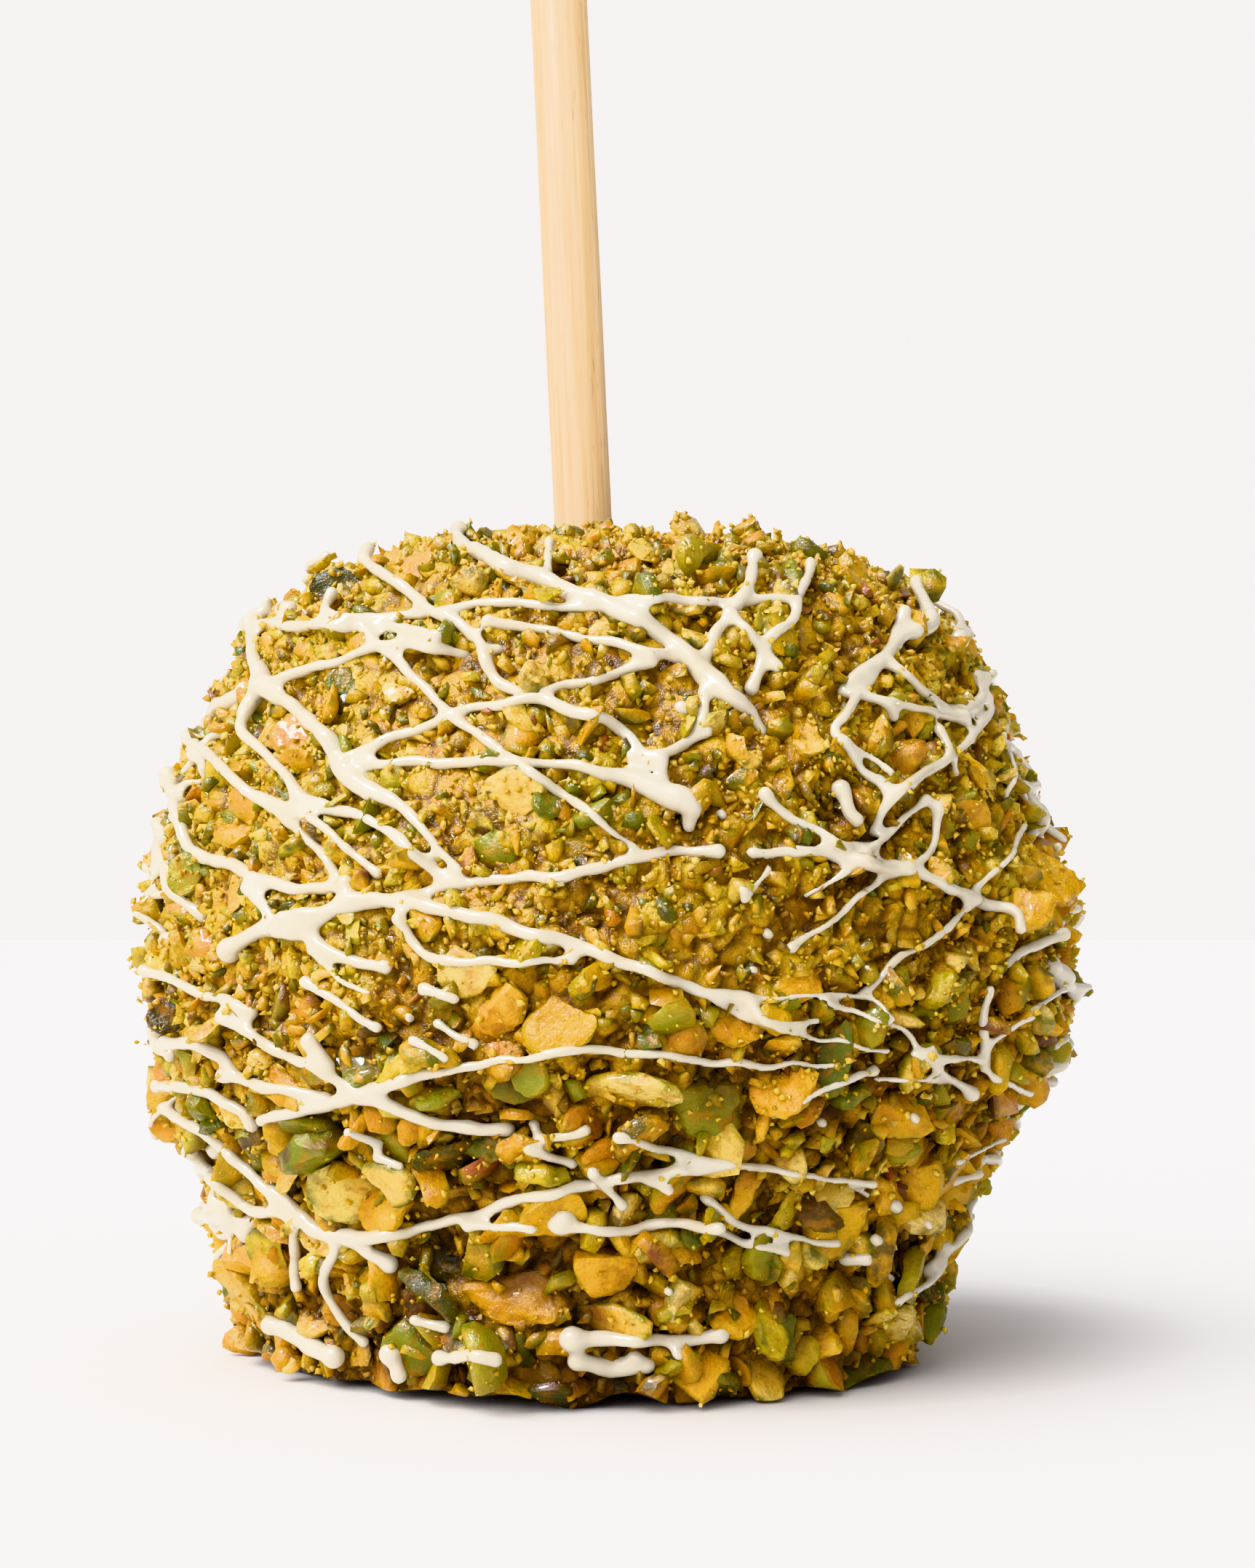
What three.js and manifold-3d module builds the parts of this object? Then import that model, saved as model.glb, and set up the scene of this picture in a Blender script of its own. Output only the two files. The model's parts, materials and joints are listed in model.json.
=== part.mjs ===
// Caramel apple on a wooden stick, rolled in chopped pistachios and flicked with white chocolate.
// Millimetres, +Z up. The origin is on the flat foot that the apple stands on, under the middle of the belly, and the
// front faces -Y.

import * as THREE from 'three';
import { mergeVertices } from 'three/addons/utils/BufferGeometryUtils.js';
import Module from 'manifold-3d';

const wasm = await Module();
wasm.setup();

// ---- Driving dimensions ----

const apple = {
  height: 82, // of the caramel under the nuts, at the rim round the stick
  bellyRadius: 45.5,
  bellyHeight: 42,
  footRadius: 31.5, // the flat that the caramel set to on its tray
  dimpleRadius: 13, // the hollow at the stalk end, half filled with caramel
  dimpleDepth: 5,
  sway: { foot: -1.5, belly: 0.6 }, // the foot stands off to -X from under the belly
  lobes: 5,
  lobeDepth: 0.7,
};

const stick = {
  radius: 3,
  length: 140,
  chamfer: 0.5,
  depth: 52, // how deep it is pushed in below the rim
  entry: new THREE.Vector3(-1.9, 0, apple.height),
  leanLeft: 2.7, // degrees
  leanBack: 0.6,
  gap: 0.3,
};

const nuts = {
  count: 118,
  length: { foot: 9.4, top: 5.8 },
  spread: 0.35, // how much the pieces differ in length
  width: 0.62, // of the length
  thickness: 0.5, // of the length
  clearOfStick: 5.5,
};

// The largest pieces on the front, as seen from the spoon: where they lie, their length and width, and their spin.
const frontPieces = [
  { at: [44, 48.5], length: 8, width: 7.5, spin: 20 },
  { at: [-22, 15.5], length: 8.5, width: 7.5, spin: 40 },
  { at: [-8, 6.5], length: 11, width: 5.5, spin: 4 },
  { at: [0, 9.5], length: 7.5, width: 6, spin: 80 },
  { at: [3, 27], length: 9.5, width: 5, spin: 12 },
  { at: [11, 25.5], length: 8.5, width: 7, spin: -20 },
  { at: [18, 27], length: 7, width: 6.5, spin: 50 },
  { at: [24, 29.5], length: 8, width: 4, spin: 84 },
  { at: [-4, 33], length: 7, width: 6, spin: 30 },
  { at: [-11, 35], length: 8.5, width: 6.5, spin: 55 },
  { at: [-16, 9], length: 7, width: 5.5, spin: -12 },
  { at: [-35, 6], length: 7.5, width: 7, spin: 70 },
  { at: [-37, 12], length: 7.5, width: 5, spin: 8 },
  { at: [-31, 27], length: 7.5, width: 5, spin: -15 },
  { at: [-30, 21.5], length: 7.5, width: 4.5, spin: 10 },
  { at: [-40, 42.5], length: 5.5, width: 5, spin: 0 },
  { at: [-9, 57], length: 6.5, width: 5, spin: 15 },
  { at: [-22.5, 51.5], length: 5.5, width: 4.5, spin: 60 },
  { at: [37.5, 55], length: 6.5, width: 4.5, spin: -30 },
  { at: [40.5, 42], length: 5.5, width: 5, spin: 45 },
  { at: [22, 2], length: 6.5, width: 5, spin: 0 },
  { at: [34, 37.5], length: 6, width: 5, spin: 65 },
];

// The white chocolate is flung from a spoon held off the apple, so each strand is a straight or gently bent line as
// seen from the spoon. Its points are [across, up] on the upright plane through the apple's axis, facing the spoon.
const drizzle = {
  spoonDistance: 280,
  spoonHeight: 46,
  spoonAcross: 2.5,
  sides: 4,
  step: 9,
  lift: 1.4, // of a strand's middle above the caramel, on the backs of the nuts
};

const frontStrands = [
  { width: 2.8, points: [[-16, 83], [-5, 78.5], [4, 74.5], [11, 70], [16, 65]] },
  { width: 2.0, points: [[-36, 74.3], [-22, 75.3], [-12, 76], [0, 76.5], [13, 77.5]] },
  { width: 2.2, points: [[-15.5, 74.6], [-5, 74.3], [4, 71], [11, 70]] },
  { width: 1.8, points: [[-29, 75], [-22, 72], [-15.5, 65], [-7, 58.5], [2.5, 52]] },
  { width: 2.0, points: [[-25, 82], [-19, 76.5], [-10, 68.3], [-1, 65.5], [5, 61.5], [11.5, 63]] },
  { width: 2.6, points: [[-36, 74], [-37, 68], [-32, 65.5], [-26, 59.5]] },
  { width: 2.0, points: [[-36, 68], [-30, 70.3], [-22, 72]] },
  { width: 2.0, points: [[-37, 66], [-34, 61], [-30, 57], [-22.5, 53.5], [-16, 49.5]] },
  { width: 1.8, points: [[-26, 60], [-17, 64.6], [-10, 67.5]] },
  { width: 2.0, points: [[-26, 60.2], [-12, 60], [0, 59], [8.5, 57.2], [9, 53.8]] },
  { width: 2.2, points: [[-26, 59.5], [-20, 56], [-14.5, 48.5]] },
  { width: 2.0, points: [[-42.5, 63], [-37.5, 57.5], [-30, 52], [-26.5, 47.5]] },
  { width: 2.2, points: [[-45, 58], [-42.5, 51.5], [-34, 47.3], [-27, 46]] },
  { width: 2.8, points: [[-38, 42.5], [-30, 43.3], [-22, 46], [-14, 48], [-5, 48.7]] },
  { width: 1.6, points: [[-3.5, 49.2], [3, 50.7], [11.5, 51.4], [24, 51]] },
  { width: 2.6, points: [[-17.5, 45.7], [-6, 43], [6, 38.7], [18, 34.8], [22, 33.7]] },
  { width: 1.8, points: [[-20, 44], [-16.5, 40], [-5, 39.3], [3, 39.3]] },
  { width: 2.2, points: [[-30, 43.3], [-21.8, 38.8]] },
  { width: 1.6, points: [[-39.5, 34], [-33, 30], [-25, 27.3]] },
  { width: 2.2, points: [[-34.5, 23.4], [-26.5, 25.5], [-18, 23], [-9.6, 22.3]] },
  { width: 1.5, points: [[-26, 26.3], [-12, 29], [1, 30.5], [14, 29.4], [24.5, 29]] },
  { width: 2.0, points: [[-33, 16], [-28, 12], [-18, 13], [-9, 15.5], [0, 17.4]] },
  { width: 1.9, points: [[0, 17.4], [12, 18.8], [28, 16.6]] },
  { width: 2.0, points: [[-4.2, 13], [4, 12], [12, 12.3], [22.5, 10.5]] },
  { width: 2.2, points: [[31, 77], [29, 71], [24, 63.5], [30, 57.5]] },
  { width: 2.0, points: [[27.5, 68], [36.5, 64.8], [38.5, 67]] },
  { width: 2.0, points: [[41, 65], [35, 59], [29.5, 55.3], [24, 51.5]] },
  { width: 2.2, points: [[17, 56.8], [25.5, 52], [34.5, 48.6], [43.3, 44.3]] },
  { width: 1.6, points: [[38.5, 46], [31, 40.5], [25.5, 36], [14, 37]] },
  { width: 2.2, points: [[46.5, 42], [41, 38.5], [39, 31], [31, 33]] },
  { width: 1.6, points: [[16, 81], [13.3, 77], [9.5, 72]] },
  { width: 1.8, points: [[21, 81.3], [16.5, 73.5], [16, 68]] },
];

// Round the sides and the back the spoon swings to and fro in long passes that cross one another.
const passes = { spoonTurns: [78, 136, 194, 252, 300], perTurn: 3, across: 36, rise: 16, width: [1.6, 2.5] };

const colours = {
  nutCoat: 0xb79a33,
  wood: 0xe3c596,
};

// ---- Helpers ----

function seededRandom(seed) {
  let state = seed;
  return () => {
    state = (state + 0x6d2b79f5) | 0;
    let t = Math.imul(state ^ (state >>> 15), 1 | state);
    t = (t + Math.imul(t ^ (t >>> 7), 61 | t)) ^ t;
    return ((t ^ (t >>> 14)) >>> 0) / 4294967296;
  };
}

function between(random, low, high) {
  return low + (high - low) * random();
}

function solidOf(geometry) {
  const bare = geometry.clone();
  bare.deleteAttribute('normal');
  bare.deleteAttribute('uv');
  const merged = mergeVertices(bare, 1e-4);
  return new wasm.Manifold(new wasm.Mesh({
    numProp: 3,
    vertProperties: merged.attributes.position.array,
    triVerts: new Uint32Array(merged.index.array),
  }));
}

function geometryOf(solid) {
  const mesh = solid.getMesh();
  const geometry = new THREE.BufferGeometry();
  geometry.setAttribute('position', new THREE.BufferAttribute(mesh.vertProperties, 3));
  geometry.setIndex(new THREE.BufferAttribute(mesh.triVerts, 1));
  geometry.computeVertexNormals();
  return geometry;
}

// ---- The caramel-dipped apple ----

// Half of the upright section, from the middle of the foot, over the belly and the rim, to the bottom of the dimple.
function appleOutline() {
  const { height, bellyRadius, bellyHeight, footRadius, dimpleRadius, dimpleDepth } = apple;
  const bend = new THREE.SplineCurve([
    new THREE.Vector2(footRadius, 0),
    new THREE.Vector2(footRadius + 2.8, 3.6),
    new THREE.Vector2(footRadius + 4.6, 8.5),
    new THREE.Vector2(footRadius + 6.2, 15),
    new THREE.Vector2(bellyRadius - 4, bellyHeight * 0.56),
    new THREE.Vector2(bellyRadius - 1, bellyHeight * 0.75),
    new THREE.Vector2(bellyRadius, bellyHeight),
    new THREE.Vector2(bellyRadius - 1.8, bellyHeight + 11),
    new THREE.Vector2(bellyRadius - 5.2, bellyHeight + 20),
    new THREE.Vector2(bellyRadius - 9, bellyHeight + 28.5),
    new THREE.Vector2(bellyRadius - 14, height - 5.5),
    new THREE.Vector2(bellyRadius - 21, height - 1.6),
    new THREE.Vector2(dimpleRadius + 3, height),
    new THREE.Vector2(dimpleRadius - 4, height - dimpleDepth * 0.4),
    new THREE.Vector2(3, height - dimpleDepth),
  ]);
  const steps = 14;
  return [
    new THREE.Vector2(0, 0),
    ...bend.getSpacedPoints(steps),
    new THREE.Vector2(0, height - dimpleDepth),
  ];
}

function appleBody() {
  const segments = 28;
  const body = new THREE.LatheGeometry(appleOutline(), segments);
  body.rotateX(Math.PI / 2);
  const place = body.attributes.position;
  for (let i = 0; i < place.count; i++) {
    const [x, y, z] = [place.getX(i), place.getY(i), place.getZ(i)];
    const turn = Math.atan2(x, -y);
    const low = 1 - z / apple.height;
    const lobe = apple.lobeDepth * low * Math.cos(apple.lobes * turn + 0.6);
    const uneven = 0.5 * Math.sin(2 * turn + 1.1) + 0.4 * Math.sin(3 * turn - 0.09 * z);
    const reach = Math.hypot(x, y);
    const share = reach > 0 ? 1 + ((lobe + uneven) * Math.min(1, reach / 30)) / reach : 1;
    const risen = THREE.MathUtils.smoothstep(z, 8, apple.bellyHeight);
    const sway = THREE.MathUtils.lerp(apple.sway.foot, apple.sway.belly, risen);
    place.setXYZ(i, x * share + sway, y * share, z);
  }
  return body;
}

const body = appleBody();
const bodyMesh = new THREE.Mesh(body, new THREE.MeshStandardMaterial());
const caster = new THREE.Raycaster();

// Where a straight line from outside first meets the caramel, and which way its surface faces there.
function landing(from, through) {
  caster.set(from, through.clone().sub(from).normalize());
  const [hit] = caster.intersectObject(bodyMesh);
  return hit ? { point: hit.point, normal: hit.face.normal } : null;
}

// ---- Chopped pistachios ----

// One chopped fragment: a block or a nub with its corners knocked about, lying flat in X and Y.
function nutPiece(length, width, random) {
  const blocky = random() < 0.7;
  const piece = blocky ? new THREE.BoxGeometry(1, 1, 1) : new THREE.OctahedronGeometry(0.72, 0);
  piece.deleteAttribute('normal');
  piece.deleteAttribute('uv');
  const merged = mergeVertices(piece, 1e-4);
  const corner = merged.attributes.position;
  const knock = blocky ? 0.24 : 0.12;
  for (let i = 0; i < corner.count; i++) {
    corner.setXYZ(
      i,
      corner.getX(i) + between(random, -knock, knock),
      corner.getY(i) + between(random, -knock, knock),
      corner.getZ(i) + between(random, -knock, knock),
    );
  }
  merged.scale(length, width, Math.sqrt(length * width) * nuts.thickness * 1.25);
  return merged;
}

function setDown(piece, spot, sink) {
  piece.applyQuaternion(new THREE.Quaternion().setFromUnitVectors(new THREE.Vector3(0, 0, 1), spot.normal));
  const out = spot.point.clone().addScaledVector(spot.normal, sink);
  piece.translate(out.x, out.y, out.z);
  return piece;
}

// The large front pieces face the spoon, so their spin is turned about the line from it.
function frontNuts() {
  const random = seededRandom(3);
  const spoon = new THREE.Vector3(drizzle.spoonAcross, -drizzle.spoonDistance, drizzle.spoonHeight);
  return frontPieces.map(({ at: [across, height], length, width, spin }) => {
    const spot = landing(spoon, new THREE.Vector3(across, 0, height));
    const piece = nutPiece(length, width, random);
    piece.rotateZ(THREE.MathUtils.degToRad(spin));
    return { ...spot, length, piece: setDown(piece, spot, 0.1 * length) };
  });
}

// The rest are spread evenly by the golden angle, larger towards the foot, and each is turned at random.
function nutPieces() {
  const random = seededRandom(7);
  const large = frontNuts();
  const middle = new THREE.Vector3(0, 0, apple.bellyHeight);
  const goldenAngle = Math.PI * (3 - Math.sqrt(5));
  const pieces = large.map(({ piece }) => solidOf(piece));
  for (let i = 0; i < nuts.count; i++) {
    const rise = 1 - (2 * (i + 0.5)) / nuts.count;
    const ring = Math.sqrt(1 - rise * rise);
    const turn = i * goldenAngle + between(random, -0.12, 0.12);
    const away = new THREE.Vector3(ring * Math.sin(turn), -ring * Math.cos(turn), rise);
    const spot = landing(middle.clone().addScaledVector(away, 120), middle);
    const size = THREE.MathUtils.lerp(nuts.length.foot, nuts.length.top, spot.point.z / apple.height);
    const length = size * between(random, 1 - nuts.spread, 1 + nuts.spread);
    const piece = nutPiece(length, length * nuts.width * between(random, 0.8, 1.2), random);
    piece.rotateX(between(random, -0.35, 0.35));
    piece.rotateZ(between(random, 0, 2 * Math.PI));
    const underFoot = spot.normal.z < -0.9;
    const atStick = Math.hypot(spot.point.x - stick.entry.x, spot.point.y) < nuts.clearOfStick;
    const taken = large.some((other) => other.point.distanceTo(spot.point) < (other.length + length) * 0.4);
    if (underFoot || atStick || taken) continue;
    pieces.push(solidOf(setDown(piece, spot, 0.1 * length)));
  }
  return pieces;
}

// ---- White chocolate ----

function strand({ width, points, turn = 0 }) {
  const upright = new THREE.Vector3(0, 0, 1);
  const angle = THREE.MathUtils.degToRad(turn);
  const place = (across, away, height) => new THREE.Vector3(across, away, height).applyAxisAngle(upright, angle);
  const spoon = place(drizzle.spoonAcross, -drizzle.spoonDistance, drizzle.spoonHeight);
  const flung = new THREE.SplineCurve(points.map(([across, height]) => new THREE.Vector2(across, height)));
  const steps = Math.max(2, Math.round(flung.getLength() / drizzle.step));
  const lie = [];
  for (const { x, y } of flung.getSpacedPoints(steps)) {
    const spot = landing(spoon, place(x, 0, y));
    if (spot) lie.push(spot.point.clone().addScaledVector(spot.normal, drizzle.lift));
  }
  if (lie.length < 3) return null;
  const section = new THREE.Shape();
  for (let i = 0; i < drizzle.sides; i++) {
    const corner = (i * 2 * Math.PI) / drizzle.sides;
    const [u, v] = [(width / 2) * 1.1 * Math.cos(corner), (width / 2) * 1.1 * Math.sin(corner)];
    if (i === 0) section.moveTo(u, v);
    else section.lineTo(u, v);
  }
  section.closePath();
  return solidOf(new THREE.ExtrudeGeometry(section, {
    steps: lie.length - 1,
    extrudePath: new THREE.CatmullRomCurve3(lie),
    bevelEnabled: false,
  }));
}

function backStrands() {
  const random = seededRandom(19);
  const strands = [];
  for (const turn of passes.spoonTurns) {
    for (let i = 0; i < passes.perTurn; i++) {
      const slope = i % 2 ? passes.rise : -passes.rise;
      const height = THREE.MathUtils.lerp(12, apple.height - 8, (i + random()) / passes.perTurn);
      const shift = between(random, -6, 6);
      const reach = between(random, 0.45, 0.9) * passes.across;
      strands.push({
        turn,
        width: between(random, ...passes.width),
        points: [
          [shift - reach, height - slope * between(random, 0.2, 0.7)],
          [shift, height + between(random, -3, 3)],
          [shift + reach, height + slope * between(random, 0.2, 0.7)],
        ],
      });
    }
  }
  return strands;
}

// ---- The two pieces ----

function stickGeometry(extra = 0) {
  const { radius, length, chamfer, depth, entry, leanLeft, leanBack } = stick;
  const reach = radius + extra;
  const rod = new THREE.LatheGeometry([
    new THREE.Vector2(0, -extra),
    new THREE.Vector2(reach - chamfer, -extra),
    new THREE.Vector2(reach, chamfer - extra),
    new THREE.Vector2(reach, length - chamfer + extra),
    new THREE.Vector2(reach - chamfer, length + extra),
    new THREE.Vector2(0, length + extra),
  ], 28);
  rod.rotateX(Math.PI / 2);
  rod.translate(0, 0, -depth);
  rod.rotateY(THREE.MathUtils.degToRad(-leanLeft));
  rod.rotateX(THREE.MathUtils.degToRad(-leanBack));
  rod.translate(entry.x, entry.y, entry.z);
  return rod;
}

function coatedAppleGeometry() {
  const strands = [...frontStrands, ...backStrands()].map(strand).filter(Boolean);
  const whole = wasm.Manifold.union([solidOf(body), ...nutPieces(), ...strands]);
  const tray = new THREE.BoxGeometry(200, 200, 40).translate(0, 0, -20);
  const cut = whole.subtract(solidOf(tray)).subtract(solidOf(stickGeometry(stick.gap)));
  const [largest] = cut.decompose().sort((a, b) => b.volume() - a.volume());
  return geometryOf(largest.simplify(0.06));
}

function named(name, geometry, colour, roughness) {
  const mesh = new THREE.Mesh(geometry, new THREE.MeshStandardMaterial({ color: colour, roughness, metalness: 0 }));
  mesh.name = name;
  return mesh;
}

const caramelApple = new THREE.Group();
caramelApple.add(named('coated_apple', coatedAppleGeometry(), colours.nutCoat, 0.5));
caramelApple.add(named('stick', stickGeometry(), colours.wood, 0.7));

export default caramelApple;
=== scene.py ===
import bpy
import bmesh
import json
import math
import random
import numpy as np
from mathutils import Matrix, Vector, noise
from mathutils.bvhtree import BVHTree

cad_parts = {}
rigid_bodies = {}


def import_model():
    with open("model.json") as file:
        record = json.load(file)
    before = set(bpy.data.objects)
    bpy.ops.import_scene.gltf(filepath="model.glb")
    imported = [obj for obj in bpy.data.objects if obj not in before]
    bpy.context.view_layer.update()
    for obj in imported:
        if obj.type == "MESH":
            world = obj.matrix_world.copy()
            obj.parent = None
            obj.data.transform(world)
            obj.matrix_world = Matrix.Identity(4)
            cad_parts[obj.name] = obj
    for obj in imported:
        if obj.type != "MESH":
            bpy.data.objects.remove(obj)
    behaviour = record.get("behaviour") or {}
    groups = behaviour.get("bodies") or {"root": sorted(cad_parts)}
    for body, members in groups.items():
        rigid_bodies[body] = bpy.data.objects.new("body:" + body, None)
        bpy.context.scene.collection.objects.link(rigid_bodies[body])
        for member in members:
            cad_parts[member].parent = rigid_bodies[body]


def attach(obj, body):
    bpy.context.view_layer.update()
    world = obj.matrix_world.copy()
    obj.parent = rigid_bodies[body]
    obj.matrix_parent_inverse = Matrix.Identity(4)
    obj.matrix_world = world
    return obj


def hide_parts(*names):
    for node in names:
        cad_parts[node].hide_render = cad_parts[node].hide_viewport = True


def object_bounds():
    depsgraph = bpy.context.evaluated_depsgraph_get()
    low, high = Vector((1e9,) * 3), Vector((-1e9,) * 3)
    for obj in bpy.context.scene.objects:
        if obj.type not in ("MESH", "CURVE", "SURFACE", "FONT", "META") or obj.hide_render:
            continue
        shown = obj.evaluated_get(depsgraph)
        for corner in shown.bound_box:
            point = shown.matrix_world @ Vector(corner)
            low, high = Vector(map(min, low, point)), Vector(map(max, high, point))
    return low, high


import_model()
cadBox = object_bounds()
mm = 0.001


# ---- small helpers ----

def linearColour(hexColour):
    # sRGB hex to the linear values that sockets take
    parts = [int(hexColour[i:i + 2], 16) / 255 for i in (1, 3, 5)]
    return tuple(c / 12.92 if c <= 0.04045 else ((c + 0.055) / 1.055) ** 2.4 for c in parts) + (1,)


def setStops(elements, stops):
    while len(elements) < len(stops):
        elements.new(0.5)
    for element, (place, colour) in zip(elements, stops):
        element.position = place
        element.color = linearColour(colour)


def addNode(tree, kind, links=(), out=0, **settings):
    # links go in by socket name or place, colours as hex text; one output comes back, or all if out is None
    node = tree.nodes.new(kind)
    for key, value in settings.items():
        if key == "stops":
            setStops(node.color_ramp.elements, value)
        else:
            setattr(node, key, value)
    for key, value in links.items() if isinstance(links, dict) else enumerate(links):
        if isinstance(value, bpy.types.NodeSocket):
            tree.links.new(value, node.inputs[key])
        else:
            node.inputs[key].default_value = linearColour(value) if str(value)[:1] == "#" else value
    return node.outputs if out is None else node.outputs[out]


def newObject(name, mesh):
    thing = bpy.data.objects.new(name, mesh)
    bpy.context.scene.collection.objects.link(thing)
    return thing


def meshFrom(name, points, faces):
    mesh = bpy.data.meshes.new(name)
    mesh.from_pydata(points, [], faces)
    mesh.update()
    return mesh


def ringFaces(rings, perRing):
    # quads between each closed ring of points and the next
    faces = []
    for start in range(0, (rings - 1) * perRing, perRing):
        for i in range(perRing):
            k = (i + 1) % perRing
            faces.append((start + i, start + k, start + perRing + k, start + perRing + i))
    return faces


def shadeSmooth(mesh):
    mesh.polygons.foreach_set("use_smooth", [True] * len(mesh.polygons))


def setFloats(mesh, name, values):
    layer = mesh.attributes.get(name) or mesh.attributes.new(name, "FLOAT", "POINT")
    layer.data.foreach_set("value", np.asarray(values, dtype=np.float32))


def vertexArray(mesh):
    flat = np.empty(len(mesh.vertices) * 3, dtype=np.float32)
    mesh.vertices.foreach_get("co", flat)
    return flat.reshape(-1, 3)


def bake(thing):
    # swap the live modifiers for the plain mesh that they make
    graph = bpy.context.evaluated_depsgraph_get()
    mesh = bpy.data.meshes.new_from_object(
        thing.evaluated_get(graph), preserve_all_data_layers=True, depsgraph=graph)
    thing.modifiers.clear()
    thing.data = mesh
    mesh.name = thing.name


def startTree(name, source, inputs):
    # a tree that works on the source geometry, with a named input for each size and one for the finish
    tree = bpy.data.node_groups.new(name, "GeometryNodeTree")
    for label, kind in [(source, "Geometry"), *inputs, ("Finish", "Material")]:
        tree.interface.new_socket(label, in_out="INPUT", socket_type="NodeSocket" + kind)
    tree.interface.new_socket("Geometry", in_out="OUTPUT", socket_type="NodeSocketGeometry")
    return tree, addNode(tree, "NodeGroupInput", out=None)


def endTree(tree, geometry, finish):
    real = addNode(tree, "GeometryNodeRealizeInstances", [geometry])
    done = addNode(tree, "GeometryNodeSetMaterial", {"Geometry": real, "Material": finish})
    addNode(tree, "NodeGroupOutput", [done], None)
    return tree


def nodeModifier(thing, tree, values):
    modifier = thing.modifiers.new(tree.name, "NODES")
    modifier.node_group = tree
    for item in tree.interface.items_tree:
        if item.item_type == "SOCKET" and item.in_out == "INPUT" and item.name in values:
            modifier[item.identifier] = values[item.name]


def catmullRom(points, count, finer=24):
    # evenly spaced places on a curve through the points, whose later numbers are carried along
    rows = [np.array(p, dtype=float) for p in points]
    rows = [2 * rows[0] - rows[1]] + rows + [2 * rows[-1] - rows[-2]]
    fine = []
    for a, b, c, d in zip(rows, rows[1:], rows[2:], rows[3:]):
        for t in np.linspace(0, 1, finer, endpoint=False):
            fine.append(0.5 * (2 * b + (c - a) * t + (2 * a - 5 * b + 4 * c - d) * t ** 2
                               + (3 * b - a - 3 * c + d) * t ** 3))
    fine = np.array(fine + [rows[-2]])
    gone = np.concatenate([[0], np.cumsum(np.linalg.norm(np.diff(fine[:, :2], axis=0), axis=1))])
    want = np.linspace(0, gone[-1], count)
    return np.stack([np.interp(want, gone, column) for column in fine.T], axis=1)


# radii in millimetres where the foot touches the table and where it ends, and how far its edge overhangs
footRest = {"middle": -1.5, "contact": 26, "edge": 37, "overhang": 1.3, "uneven": 0.9}


def keepInPlace(thing, margin):
    # nothing dips into the table, and nothing stands out of the solids' own box by more than the margin
    f = footRest
    place = vertexArray(thing.data)
    low = np.array([cadBox[0][0] - margin, cadBox[0][1] - margin, 0.0])
    high = np.array([cadBox[1][0] + margin, cadBox[1][1] + margin, 1.0])
    np.clip(place, low, high, out=place)
    reach = np.hypot(place[:, 0] - f["middle"] * mm, place[:, 1]) / mm
    under = np.interp(reach, (f["contact"], f["edge"]), (0, f["overhang"])) * mm
    turn = np.arctan2(place[:, 0], -place[:, 1])
    uneven = 0.6 * np.sin(9 * turn + 2 * np.sin(5 * turn)) + 0.4 * np.sin(23 * turn)
    place[:, 2] = np.maximum(place[:, 2], under * (1 + f["uneven"] * uneven))
    thing.data.vertices.foreach_set("co", place.ravel())
    thing.data.update()


# ---- camera: level with the belly, a forearm's length off ----

cameraView = {"across": 2.55, "away": 280, "height": 45.8, "pitchUp": 2.49, "lens": 62.3, "sensor": 36,
              "nearest": 10}


def makeCamera():
    c = cameraView
    data = bpy.data.cameras.new("camera")
    data.sensor_width = c["sensor"]
    data.lens = c["lens"]
    data.clip_start = c["nearest"] * mm
    camera = newObject("camera", data)
    camera.location = (c["across"] * mm, -c["away"] * mm, c["height"] * mm)
    camera.rotation_euler = (math.radians(90 + c["pitchUp"]), 0, 0)
    bpy.context.scene.camera = camera


makeCamera()
print("camera placed")


# ---- materials ----

def startMaterial(name):
    material = bpy.data.materials.new(name)
    material.use_nodes = True
    tree = material.node_tree
    tree.nodes.clear()
    return material, tree


def patterns(tree, sizes, place=None):
    # a noise for each size: width of one patch in millimetres, detail, roughness and distortion
    place = place or addNode(tree, "ShaderNodeTexCoord", out="Object")
    return [addNode(tree, "ShaderNodeTexNoise", {
        "Vector": place, "Scale": 1 / (size * mm), "Detail": detail, "Roughness": rough, "Distortion": bend},
        "Fac") for size, detail, rough, bend in sizes]


def layered(tree, colour, layers):
    # lays colour after colour over the first, each as its pattern goes from low to high, up to its share
    for pattern, low, high, share, over in layers:
        amount = addNode(tree, "ShaderNodeMapRange", (pattern, low, high, 0.0, share))
        colour = addNode(tree, "ShaderNodeMix", {0: amount, 6: colour, 7: over}, 2, data_type="RGBA")
    return colour


def endMaterial(tree, values, strength=0, depth=0, height=None):
    # the surface itself, with relief from a pattern where it has one; depth is in millimetres
    if height:
        relief = {"Strength": strength, "Distance": depth * mm, "Height": height}
        values = {**values, "Normal": addNode(tree, "ShaderNodeBump", relief)}
    shader = addNode(tree, "ShaderNodeBsdfPrincipled", values)
    addNode(tree, "ShaderNodeOutputMaterial", {"Surface": shader}, None)


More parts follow.
